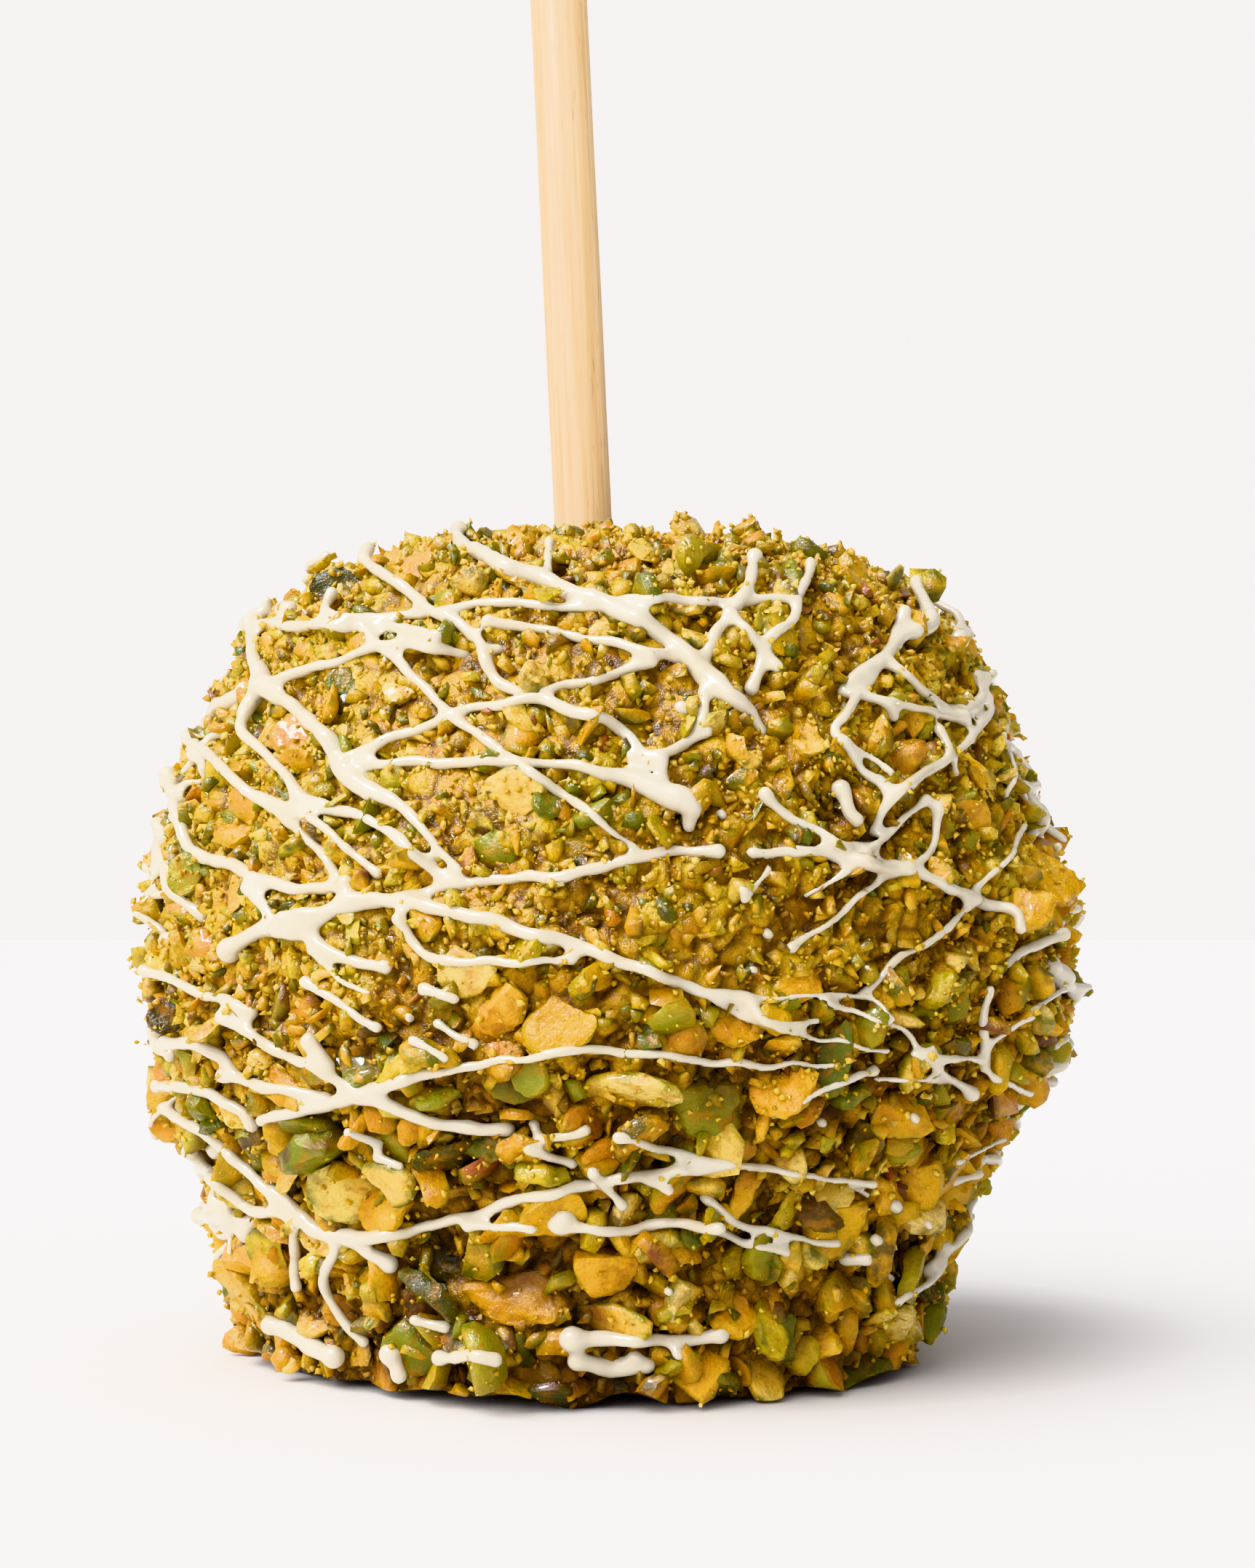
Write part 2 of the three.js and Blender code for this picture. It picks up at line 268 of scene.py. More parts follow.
nutColours = {
    # chopped pistachio, toasted: how much of each colour there is, from 0 to 1
    "flesh": [(0.0, "#C89C14"), (0.14, "#BE8C10"), (0.28, "#CC9A1A"), (0.37, "#B8780E"), (0.46, "#DCA82E"),
              (0.56, "#E6C460"), (0.64, "#E4CC7C"), (0.71, "#C8AE24"), (0.78, "#A29016"), (0.84, "#808016"),
              (0.9, "#6C7418"), (0.94, "#4A5616"), (0.97, "#33401A"), (0.985, "#58301C"), (1.0, "#8E3824")],
    "meal": [(0.0, "#DCB02A"), (0.2, "#CEA41E"), (0.4, "#DEB83C"), (0.54, "#E8CC5C"), (0.66, "#D0B42E"),
             (0.76, "#AE9C20"), (0.84, "#CA901C"), (0.91, "#84841E"), (0.95, "#55631A"), (0.98, "#744A1C"),
             (1.0, "#8E3824")],
    "packed": [(0.0, "#D8AE2C"), (0.25, "#C49A1C"), (0.5, "#DEBA44"), (0.7, "#C8AC2A"), (0.88, "#A2901E"),
               (1.0, "#B8821C")],
    "grit": [(0.0, "#E2C052"), (0.35, "#D2AC34"), (0.65, "#E8CC64"), (0.85, "#C89C26"), (1.0, "#A88A20")],
    "rind": [(0.0, "#B08A20"), (0.4, "#867E16"), (0.65, "#545C14"), (0.85, "#363E12"), (0.94, "#4A2A20"),
             (1.0, "#6A3224")],
    # painted shade multiplies the colour, from none where the rise is at the top value to full where it is at
    # the foot value, in millimetres out of the plain outline: darker deep between the pieces, low down, on
    # the right side and underneath
    "paintedShadeStops": [(0.0, "#FFFFFF"), (0.3, "#EBD9A2"), (0.62, "#A0854A"), (1.0, "#3C2D14")],
    "paintedShadeTop": 1.0, "paintedShadeFoot": -1.75,
    # the paler heart, toasted mottle, patches of rind, grain and lumps
    "patterns": [(3.2, 3, 0.55, 0), (1.7, 4, 0.6, 0.5), (2.2, 3, 0.55, 0), (0.32, 3, 0.7, 0),
                 (1.1, 2, 0.55, 0)],
    "sheen": 0.22,
}


def soaked(tree, colour):
    # painted shade: darkens the colour where a point's rise is low, deep between the pieces, low down, on the
    # right side and underneath, where shade falls
    c = nutColours
    rise = addNode(tree, "ShaderNodeAttribute", out="Fac", attribute_name="rise")
    depth = addNode(tree, "ShaderNodeMapRange", (rise, c["paintedShadeTop"], c["paintedShadeFoot"]))
    deep = addNode(tree, "ShaderNodeValToRGB", [depth], stops=c["paintedShadeStops"])
    return addNode(tree, "ShaderNodeMix", {0: 1.0, 6: colour, 7: deep}, 2, data_type="RGBA",
                   blend_type="MULTIPLY")


def nutMaterial(name, stops, gloss, clear):
    # pistachio kernel, roasted and chopped: broken faces are waxy, paler inside and toasted in spots, and the
    # papery rind stays on the outer side of some pieces
    c = nutColours
    material, tree = startMaterial(name)
    tone, rindTone, rind = [addNode(tree, "ShaderNodeAttribute", out="Fac", attribute_name=label)
                            for label in ("tone", "rindTone", "rind")]
    heart, mottle, husk, grain, lump = patterns(tree, c["patterns"])
    flesh, skin = [addNode(tree, "ShaderNodeValToRGB", [by], stops=colours)
                   for by, colours in ((tone, stops), (rindTone, c["rind"]))]
    ripe = addNode(tree, "ShaderNodeMath", (
        addNode(tree, "ShaderNodeMapRange", (heart, 0.46, 0.64)),
        addNode(tree, "ShaderNodeMapRange", (tone, 0.8, 0.88, 1.0, 0.15))), operation="MULTIPLY")
    patchy = addNode(tree, "ShaderNodeMath", (
        rind, addNode(tree, "ShaderNodeMapRange", (husk, 0.36, 0.58))), operation="MULTIPLY")
    colour = layered(tree, flesh, (
        (ripe, 0, 1, 0.36, "#EDCB54"), (mottle, 0.5, 0.34, 0.65, "#A66A0C"), (patchy, 0, 1, 0.9, skin),
        (grain, 0.47, 0.33, 0.5, "#94680C")))
    relief = addNode(tree, "ShaderNodeMath", (lump, 1.6, grain), operation="MULTIPLY_ADD")
    # the colour is darkened by painted shade where the rise is low
    endMaterial(tree, {
        "Base Color": soaked(tree, colour),
        "Roughness": addNode(tree, "ShaderNodeMapRange", (grain, 0.35, 0.65, gloss - 0.1, gloss + 0.15)),
        "Specular IOR Level": c["sheen"], "Coat Weight": clear * 0.5, "Coat Roughness": 0.08,
        "Subsurface Weight": clear, "Subsurface Radius": (0.9, 0.7, 0.3), "Subsurface Scale": 1.5 * mm,
    }, 0.75, 0.25, relief)
    return material


def packedMaterial():
    # fine nut meal pressed into caramel: chunks and chips have their own colours, with amber between them
    material, tree = startMaterial("mealInCaramel")
    rest = addNode(tree, "ShaderNodeAttribute", out="Vector", attribute_name="rest")
    grain, mingled = patterns(tree, ((0.55, 3, 0.7, 0), (2.4, 2, 0.55, 0)))
    cells = []
    for size in (appleShape["chunk"], appleShape["chip"]):
        cell = addNode(tree, "ShaderNodeTexVoronoi", {"Vector": rest, "Scale": 1 / size}, "Color")
        tone = addNode(tree, "ShaderNodeSeparateXYZ", [cell], 1)
        cells.append(addNode(tree, "ShaderNodeValToRGB", [tone], stops=nutColours["packed"]))
    edge = addNode(tree, "ShaderNodeTexVoronoi", {
        "Vector": rest, "Scale": 1 / appleShape["chunk"]}, "Distance", feature="DISTANCE_TO_EDGE")
    colour = layered(tree, cells[0], (
        (mingled, 0.4, 0.6, 1.0, cells[1]), (edge, 0.13, 0.02, 0.75, "#6B4204"),
        (grain, 0.56, 0.42, 0.45, "#7E5A08")))
    # the colour is darkened by painted shade where the rise is low
    endMaterial(tree, {
        "Base Color": soaked(tree, colour),
        "Roughness": addNode(tree, "ShaderNodeMapRange", (grain, 0.4, 0.6, 0.22, 0.5)),
        "Specular IOR Level": nutColours["sheen"],
        "Subsurface Weight": 0.12, "Subsurface Radius": (1.0, 0.7, 0.25), "Subsurface Scale": 1.2 * mm,
    }, 0.9, 0.4, grain)
    return material


def chocolateMaterial():
    # white chocolate, melted and set: ivory, smooth and satin, and light goes a little way into it
    material, tree = startMaterial("whiteChocolate")
    cloud, ripple = patterns(tree, ((7, 3, 0.55, 0), (1.6, 2, 0.55, 0)))
    endMaterial(tree, {
        "Base Color": layered(tree, "#CAC3B2", [(cloud, 0.35, 0.65, 1.0, "#C2B9A2")]),
        "Roughness": 0.2, "IOR": 1.48, "Coat Weight": 0.5, "Coat Roughness": 0.08,
        "Subsurface Weight": 0.3, "Subsurface Radius": (1.0, 0.85, 0.6), "Subsurface Scale": 1.2 * mm,
    }, 0.4, 0.25, ripple)
    return material


nutFinish = nutMaterial("choppedPistachio", nutColours["flesh"], 0.2, 0.3)
mealFinish = nutMaterial("pistachioMeal", nutColours["meal"], 0.3, 0.2)
gritFinish = nutMaterial("pistachioGrit", nutColours["grit"], 0.22, 0.2)
chocolateFinish = chocolateMaterial()
print("materials mixed")


# ---- the caramel-dipped apple ----

appleShape = {
    "height": 82, "bellyRadius": 45.5, "bellyHeight": 42, "footRadius": 31.5,
    "dimpleRadius": 13, "dimpleDepth": 5,
    "footSway": -1.5, "bellySway": 0.6, "swayFrom": 8, "lobes": 5, "lobeDepth": 0.7, "evenWithin": 30,
    # how far the core lies within the coat's mean surface, by height
    "coatDepth": [(8, 1.4), (20, 2.5), (33, -0.4), (48, -0.4), (60, -0.7), (73, -0.7), (79, 0.7)],
    "floorRings": 11, "rimRings": 191, "perRing": 410,
    # lumps push outwards in full from lumpFrom up, and upwards in full from upFrom up
    "lumpHeight": 0.7, "lumpSize": 7, "lumpFrom": 3, "upFrom": 40,
    "chunk": 2.9, "chunkRise": 0.9, "chip": 1.25, "chipRise": 0.34,
}


def appleOutline():
    # radius and height from the foot's edge up round the belly and into the hollow of the stalk
    s = appleShape
    belly, level, top = s["bellyRadius"], s["bellyHeight"], s["height"]
    foot, dimple, deep = s["footRadius"], s["dimpleRadius"], s["dimpleDepth"]
    return [(foot, 0), (foot + 2.8, 3.6), (foot + 4.6, 8.5), (foot + 6.2, 15), (belly - 4, level * 0.56),
            (belly - 1, level * 0.75), (belly, level), (belly - 1.8, level + 11), (belly - 5.2, level + 20),
            (belly - 9, level + 28.5), (belly - 14, top - 5.5), (belly - 21, top - 1.6), (dimple + 3, top),
            (dimple - 4, top - deep * 0.4), (3, top - deep)]


def swayAt(z):
    # the belly leans to the right of the foot
    s = appleShape
    risen = np.clip((z - s["swayFrom"]) / (s["bellyHeight"] - s["swayFrom"]), 0, 1)
    return s["footSway"] + (s["bellySway"] - s["footSway"]) * risen * risen * (3 - 2 * risen)


def bulgeAt(reach, z, turn):
    # the five lobes, deepest at the foot, and an unevenness; turn goes from the front, -Y, towards +X
    s = appleShape
    lobe = s["lobeDepth"] * (1 - z / s["height"]) * np.cos(s["lobes"] * turn + 0.6)
    uneven = 0.5 * np.sin(2 * turn + 1.1) + 0.4 * np.sin(3 * turn - 0.09 * z)
    return (lobe + uneven) * np.minimum(1, reach / s["evenWithin"])


def coatInset(z):
    return np.interp(z, *zip(*appleShape["coatDepth"]))


def packedTree():
    # presses the fine nut meal into chunks and chips, each standing a little higher or lower than the next
    tree, given = startTree("packMeal", "Surface", [
        (label, "Float") for label in ("Chunk", "Chunk Rise", "Chip", "Chip Rise")])
    place = addNode(tree, "GeometryNodeInputPosition")
    rest = addNode(tree, "ShaderNodeVectorMath", {0: place, "Scale": 1 / mm}, operation="SCALE")
    marked = addNode(tree, "GeometryNodeStoreNamedAttribute", {
        "Geometry": given["Surface"], "Name": "rest", "Value": rest}, data_type="FLOAT_VECTOR")
    total = 0.0
    for size in ("Chunk", "Chip"):
        often = addNode(tree, "ShaderNodeMath", (1.0, given[size]), operation="DIVIDE")
        edge = addNode(tree, "ShaderNodeTexVoronoi", {"Vector": rest, "Scale": often}, "Distance",
                       feature="DISTANCE_TO_EDGE")
        cell = addNode(tree, "ShaderNodeTexVoronoi", {"Vector": rest, "Scale": often}, "Color")
        dome = addNode(tree, "ShaderNodeMapRange", (edge, 0.0, 0.28, -0.75, 0.0))
        step = addNode(tree, "ShaderNodeMapRange", (
            addNode(tree, "ShaderNodeSeparateXYZ", [cell]), 0.0, 1.0, -0.3, 1.0))
        both = addNode(tree, "ShaderNodeMath", (dome, step), operation="ADD")
        rise = given[size + " Rise"]
        total = addNode(tree, "ShaderNodeMath", (both, rise, total), operation="MULTIPLY_ADD")
    height = addNode(tree, "ShaderNodeSeparateXYZ", [rest], "Z")
    held = addNode(tree, "ShaderNodeMath", (
        total, addNode(tree, "ShaderNodeMapRange", (height, 0.0, 2.5))), operation="MULTIPLY")
    outward = addNode(tree, "ShaderNodeVectorMath", {
        0: addNode(tree, "GeometryNodeInputNormal"), "Scale": held}, operation="SCALE")
    moved = addNode(tree, "GeometryNodeSetPosition", {"Geometry": marked, "Offset": outward})
    smooth = addNode(tree, "GeometryNodeSetShadeSmooth", {"Geometry": moved})
    return endTree(tree, smooth, given["Finish"])


def makeCore():
    s = appleShape
    floor = [(r, 0.0) for r in np.linspace(4, s["footRadius"] - 1, s["floorRings"])]
    rows = np.array(floor + catmullRom(appleOutline(), s["rimRings"]).tolist())
    reach, z = rows[:, :1], rows[:, 1:]
    n = s["perRing"]
    turn = 2 * math.pi * np.arange(n) / n
    out = reach + bulgeAt(reach, z, turn)
    rings = np.stack([out * np.sin(turn) + swayAt(z), -out * np.cos(turn), z + 0 * turn], axis=2)
    poles = [(s["footSway"], 0, 0), (s["bellySway"], 0, s["height"] - s["dimpleDepth"])]
    points = np.concatenate([rings.reshape(-1, 3), poles], dtype=np.float32)
    foot, top = len(points) - 2, len(points) - 1
    faces = ringFaces(len(rows), n)
    faces += [(foot, (i + 1) % n, i) for i in range(n)]
    faces += [(top, foot - n + i, foot - n + (i + 1) % n) for i in range(n)]
    mesh = meshFrom("caramelApple", (points * mm).tolist(), faces)
    normals = [v.normal.copy() for v in mesh.vertices]
    for vertex, normal in zip(mesh.vertices, normals):
        p = vertex.co / mm
        lump = s["lumpHeight"] * noise.noise(p / s["lumpSize"]) - coatInset(p.z)
        way = Vector((normal.x, normal.y, max(0, normal.z) * min(1, p.z / s["upFrom"])))
        vertex.co += way * lump * min(1, p.z / s["lumpFrom"]) * mm
    mesh.update()
    core = newObject("caramelApple", mesh)
    nodeModifier(core, packedTree(), {
        "Chunk": s["chunk"], "Chunk Rise": s["chunkRise"] * mm, "Chip": s["chip"],
        "Chip Rise": s["chipRise"] * mm, "Finish": packedMaterial()})
    bake(core)
    return core


core = makeCore()

# what changes a point's rise, in millimetres, and so its painted shade: coat over the core, darker low down,
# darker on the right side away from the light, darker underneath near the table
shadeRule = {"soaked": 0.9, "lowTop": 46, "lowFade": 24, "right": 0.36, "rightLow": 0.06, "rightFade": 22,
             "least": -0.3, "across": (-1.5, 0.9), "under": 1.6, "underTop": 5, "rimPoints": 90,
             "together": 20000}


def lowDown(z):
    return np.clip((shadeRule["lowTop"] - z) / shadeRule["lowFade"], 0, 1)


def markRise(thing):
    # how far each point stands out from the plain outline of the dipped apple, in millimetres, then lowered
    # for painted shade low down, on the right side and underneath
    s = shadeRule
    place = vertexArray(thing.data) / mm
    x, y, z = place.T
    sway = swayAt(z)
    reach = np.hypot(x - sway, y)
    reach = reach - bulgeAt(reach, z, np.arctan2(x - sway, -y))
    rim = catmullRom(appleOutline(), s["rimPoints"])
    ahead = np.gradient(rim, axis=0)
    outward = np.stack([ahead[:, 1], -ahead[:, 0]], axis=1) / np.linalg.norm(ahead, axis=1)[:, None]
    rise = np.empty(len(place))
    for start in range(0, len(place), s["together"]):
        part = slice(start, start + s["together"])
        gap = np.stack([reach[part], z[part]], axis=1)[:, None, :] - rim[None, :, :]
        nearest = np.argmin((gap ** 2).sum(axis=2), axis=1)
        rise[part] = (gap[np.arange(len(nearest)), nearest] * outward[nearest]).sum(axis=1)
    # painted shade: the rise falls, so the colour darkens, low down, on the right side and under the apple
    # near the table
    low = lowDown(z)
    across = np.clip(x / s["rightFade"], *s["across"])
    rise += s["soaked"] * np.maximum(s["least"], coatInset(z)) - low
    rise -= (s["right"] - (s["right"] - s["rightLow"]) * low) * across
    rise -= s["under"] * np.clip((s["underTop"] - z) / s["underTop"], 0, 1)
    setFloats(thing.data, "rise", rise)


markRise(core)
coreTree = BVHTree.FromPolygons([v.co for v in core.data.vertices], [p.vertices for p in core.data.polygons])
print("apple dipped:", len(core.data.polygons), "faces")


# ---- where a straight line from the spoon lands; the spoon is held where the camera stands ----

spoonPlace = Vector((cameraView["across"], -cameraView["away"], cameraView["height"])) * mm
inward = 0.985  # a line that misses tries again this much nearer the middle


def landing(tree, across, up, spoon=spoonPlace, turn=None):
    through = Vector((across, 0, up)) * mm
    if turn is not None:
        through = turn @ through
    way = (through - spoon).normalized()
    point, normal, _, distance = tree.ray_cast(spoon, way)
    return point, normal, distance, way


# ---- chopped nuts ----

# each family: half sizes of the kernel, how rough it is, and cuts as (distance from the middle, direction)
nutShapes = {
    "half": [(0.5, 0.3, 0.34), 0.018, (0.02, (0, 0, 1))],
    "tip": [(0.62, 0.4, 0.4), 0.02, (0.1, (1, 0.2, 0.1)), (0.1, (0, 0.1, 1))],
    "block": [(0.6, 0.5, 0.46), 0.03, (0.26, (1, 0.3, 0.2)), (0.24, (-0.3, 1, 0.2)), (0.2, (0.1, -0.2, 1)),
              (0.36, (-1, -0.3, 0.4))],
    "wedge": [(0.6, 0.45, 0.4), 0.025, (0.05, (0.2, 0.6, 1)), (0.14, (-0.4, -0.8, 0.8)), (0.3, (1, 0, -0.2))],
    "cube": [(0.62, 0.62, 0.55), 0.03, (0.34, (1, 0.1, 0)), (0.34, (-1, 0.2, 0.1)), (0.3, (0, 1, 0.2)),
             (0.3, (0.2, -1, 0)), (0.24, (0.1, 0, 1)), (0.3, (0, 0.1, -1))],
    "slice": [(0.55, 0.45, 0.4), 0.022, (0.1, (0.1, 0, 1)), (0.1, (0, 0.1, -1)), (0.3, (1, 0.6, 0))],
    "stick": [(0.6, 0.3, 0.3), 0.02, (0.13, (0, 1, 0.1)), (0.11, (0.1, -1, 0)), (0.12, (0, 0, 1)),
              (0.44, (1, 0.3, 0.2)), (0.42, (-1, 0.2, 0))],
}


# how much two kernels of a family differ, how their faces crumble and where rind is left on them
kernel = {"size": (0.92, 1.08), "aim": 0.16, "cut": (0.9, 1.15), "dent": 4, "dented": 2.4, "pit": 11,
          "pitted": 1.3, "rindFrom": 0.86, "rindFade": 0.08}


def closeHull(shape):
    # wraps a cut or broken shape in its own hull
    hull = bmesh.ops.convex_hull(shape, input=shape.verts)
    spare = [e for e in hull["geom_interior"] + hull["geom_unused"] if isinstance(e, bmesh.types.BMVert)]
    bmesh.ops.delete(shape, geom=list(set(spare)), context="VERTS")


def makeMesh(shape, name):
    mesh = bpy.data.meshes.new(name)
    shape.to_mesh(mesh)
    shape.free()
    return mesh


def nutMesh(name, family, seed, finest, faceCount, crease):
    # a kernel cut by flat breaks, its edges crumbled a little, about one unit long
    k = kernel
    size, rough, *cuts = nutShapes[family]
    rng = random.Random(seed)
    shape = bmesh.new()
    bmesh.ops.create_icosphere(shape, subdivisions=3, radius=1)
    half = Vector([h * rng.uniform(*k["size"]) for h in size])
    bmesh.ops.scale(shape, vec=half, verts=shape.verts)
    for distance, direction in cuts:
        way = Vector([d + rng.uniform(-k["aim"], k["aim"]) for d in direction]).normalized()
        everything = shape.verts[:] + shape.edges[:] + shape.faces[:]
        there = way * distance * rng.uniform(*k["cut"])
        bmesh.ops.bisect_plane(shape, geom=everything, plane_co=there, plane_no=way, clear_outer=True)
    closeHull(shape)
    piece = newObject(name, makeMesh(shape, name))
    remesh = piece.modifiers.new("remesh", "REMESH")
    remesh.mode = "VOXEL"
    remesh.voxel_size = finest
    piece.modifiers.new("smooth", "SMOOTH").iterations = 1
    bake(piece)
    for vertex in piece.data.vertices:
        p = vertex.co
        push = noise.noise(p * k["dent"] + Vector((seed, 0, 0))) * k["dented"]
        push += noise.noise(p * k["pit"] + Vector((0, seed, 0))) * k["pitted"]
        vertex.co = p + vertex.normal * push * rough
    piece.data.update()
    decimate = piece.modifiers.new("decimate", "DECIMATE")
    decimate.ratio = min(1, faceCount / (2 * len(piece.data.polygons)))
    bake(piece)
    # the rind is where the kernel's own outside is left
    kept = np.linalg.norm(vertexArray(piece.data) / np.array(half), axis=1)
    setFloats(piece.data, "rind", np.clip((kept - k["rindFrom"]) / k["rindFade"], 0, 1))
    shadeSmooth(piece.data)
    piece.data.set_sharp_from_angle(angle=math.radians(crease))
    return piece


def nutCollection(name, perFamily, finest, faceCount, firstSeed, crease):
    group = bpy.data.collections.new(name)
    for number in range(perFamily * len(nutShapes)):
        family = list(nutShapes)[number // perFamily]
        label = f"{name}_{family}_{number % perFamily}"
        piece = nutMesh(label, family, firstSeed + number, finest, faceCount, crease)
        bpy.context.scene.collection.objects.unlink(piece)
        group.objects.link(piece)
    return group


# how many of each family, their finest detail in shares of the length, faces, first seed, and the angle in
# degrees past which an edge is sharp
largeShapes = nutCollection("largeShape", 2, 0.05, 420, 11, 36)
coarseShapes = nutCollection("coarseShape", 2, 0.055, 190, 71, 40)
mediumShapes = nutCollection("mediumShape", 2, 0.09, 30, 41, 75)
smallShapes = nutCollection("smallShape", 1, 0.08, 12, 101, 180)


grainRule = {"radius": 0.5, "broken": 4, "uneven": 0.17}


def grainCollection(name, count, seed):
    # crumbs too small to show more than a few broken faces
    g = grainRule
    rng = random.Random(seed)
    group = bpy.data.collections.new(name)
    for i in range(count):
        shape = bmesh.new()
        bmesh.ops.create_icosphere(shape, subdivisions=1, radius=g["radius"])
        bmesh.ops.delete(shape, geom=rng.sample(list(shape.verts), g["broken"]), context="VERTS")
        for vertex in shape.verts:
            vertex.co += Vector([rng.uniform(-g["uneven"], g["uneven"]) for _ in range(3)])
        closeHull(shape)
        bmesh.ops.recalc_face_normals(shape, faces=shape.faces)
        mesh = makeMesh(shape, f"{name}_{i}")
        setFloats(mesh, "rind", np.zeros(len(mesh.vertices)))
        shadeSmooth(mesh)
        group.objects.link(bpy.data.objects.new(mesh.name, mesh))
    return group


grainShapes = grainCollection("grainShape", 8, 5)

scatterInputs = ("Most Per Square Metre", "Closest", "Smallest", "Largest", "Top Share", "Lift", "Tilt",
                 "Flatten", "Seed")
nutScatters = {
    "coarseNuts": (300000.0, 2.6 * mm, 3.6 * mm, 8.4 * mm, 0.6, 0.2, 0.8, 0.85, 4),
    "mediumNuts": (500000.0, 1.9 * mm, 2.4 * mm, 6.4 * mm, 0.8, 0.17, 1.1, 0.95, 21),
    "smallNuts": (1200000.0, 1.0 * mm, 1.0 * mm, 3.2 * mm, 1.0, 0.05, 1.4, 1.0, 63),
    "nutCrumbs": (520000.0, 0.52 * mm, 0.35 * mm, 0.95 * mm, 1.0, 0.35, 1.5, 0.9, 33),
    "nutDust": (450000.0, 0.42 * mm, 0.22 * mm, 0.6 * mm, 1.0, 0.15, 1.5, 0.9, 52),
}


def scatterTree():
    # spreads shapes over a surface, each turned and sized at random and marked with its own colour numbers
    tree, given = startTree("scatterNuts", "Surface", [
        ("Shapes", "Collection"), *((label, "Float") for label in scatterInputs[:-1]), ("Seed", "Int")])
    share, coarse = [addNode(tree, "GeometryNodeInputNamedAttribute", [label], "Attribute", data_type="FLOAT")
                     for label in ("share", "coarse")]
    spots = addNode(tree, "GeometryNodeDistributePointsOnFaces", {
        "Mesh": given["Surface"], "Distance Min": given["Closest"], "Seed": given["Seed"],
        "Density Max": given["Most Per Square Metre"], "Density Factor": share},
        None, distribute_method="POISSON")
    chance = addNode(tree, "FunctionNodeRandomValue", {"Seed": given["Seed"]}, 1, data_type="FLOAT")
    skewed = addNode(tree, "ShaderNodeMath", (chance, 1.5), operation="POWER")
    size = addNode(tree, "ShaderNodeMapRange", (skewed, 0.0, 1.0, given["Smallest"], given["Largest"]))
    bigger = addNode(tree, "ShaderNodeMapRange", (coarse, 0.0, 1.0, given["Top Share"], 1.0))
    scale = addNode(tree, "ShaderNodeMath", (size, bigger), operation="MULTIPLY")
    kept = addNode(tree, "GeometryNodeStoreNamedAttribute", {
        "Geometry": spots["Points"], "Name": "length", "Value": scale}, data_type="FLOAT", domain="POINT")
    length = addNode(tree, "GeometryNodeInputNamedAttribute", ["length"], "Attribute", data_type="FLOAT")
    lift, flat = [addNode(tree, "ShaderNodeMath", (length, given[label]), operation="MULTIPLY")
                  for label in ("Lift", "Flatten")]
    outward = addNode(tree, "ShaderNodeVectorMath", {0: spots["Normal"], "Scale": lift}, operation="SCALE")
    raised = addNode(tree, "GeometryNodeSetPosition", {"Geometry": kept, "Offset": outward})
    tilt = given["Tilt"]
    back = addNode(tree, "ShaderNodeMath", (tilt, -1.0), operation="MULTIPLY")
    low = addNode(tree, "ShaderNodeCombineXYZ", (back, back, 0.0))
    high = addNode(tree, "ShaderNodeCombineXYZ", (tilt, tilt, 2 * math.pi))
    seedOn, toneSeed, rindSeed = [addNode(tree, "ShaderNodeMath", (given["Seed"], step), operation="ADD")
                                  for step in (7.0, 13.0, 29.0)]
    lean = addNode(tree, "FunctionNodeRandomValue", {0: low, 1: high, "Seed": seedOn},
                   data_type="FLOAT_VECTOR")
    spin = addNode(tree, "FunctionNodeEulerToRotation", [lean])
    turned = addNode(tree, "FunctionNodeRotateRotation", (spots["Rotation"], spin), rotation_space="LOCAL")
    shapes = addNode(tree, "GeometryNodeCollectionInfo", {
        "Collection": given["Shapes"], "Separate Children": True, "Reset Children": True})
    last = addNode(tree, "GeometryNodeInstanceOnPoints", {
        "Points": raised, "Instance": shapes, "Pick Instance": True, "Rotation": turned,
        "Scale": addNode(tree, "ShaderNodeCombineXYZ", (length, length, flat))})
    for label, seed in (("tone", toneSeed), ("rindTone", rindSeed)):
        last = addNode(tree, "GeometryNodeStoreNamedAttribute", {
            "Geometry": last, "Name": label,
            "Value": addNode(tree, "FunctionNodeRandomValue", {"Seed": seed}, 1, data_type="FLOAT")},
            data_type="FLOAT", domain="INSTANCE")
    return endTree(tree, last, given["Finish"])


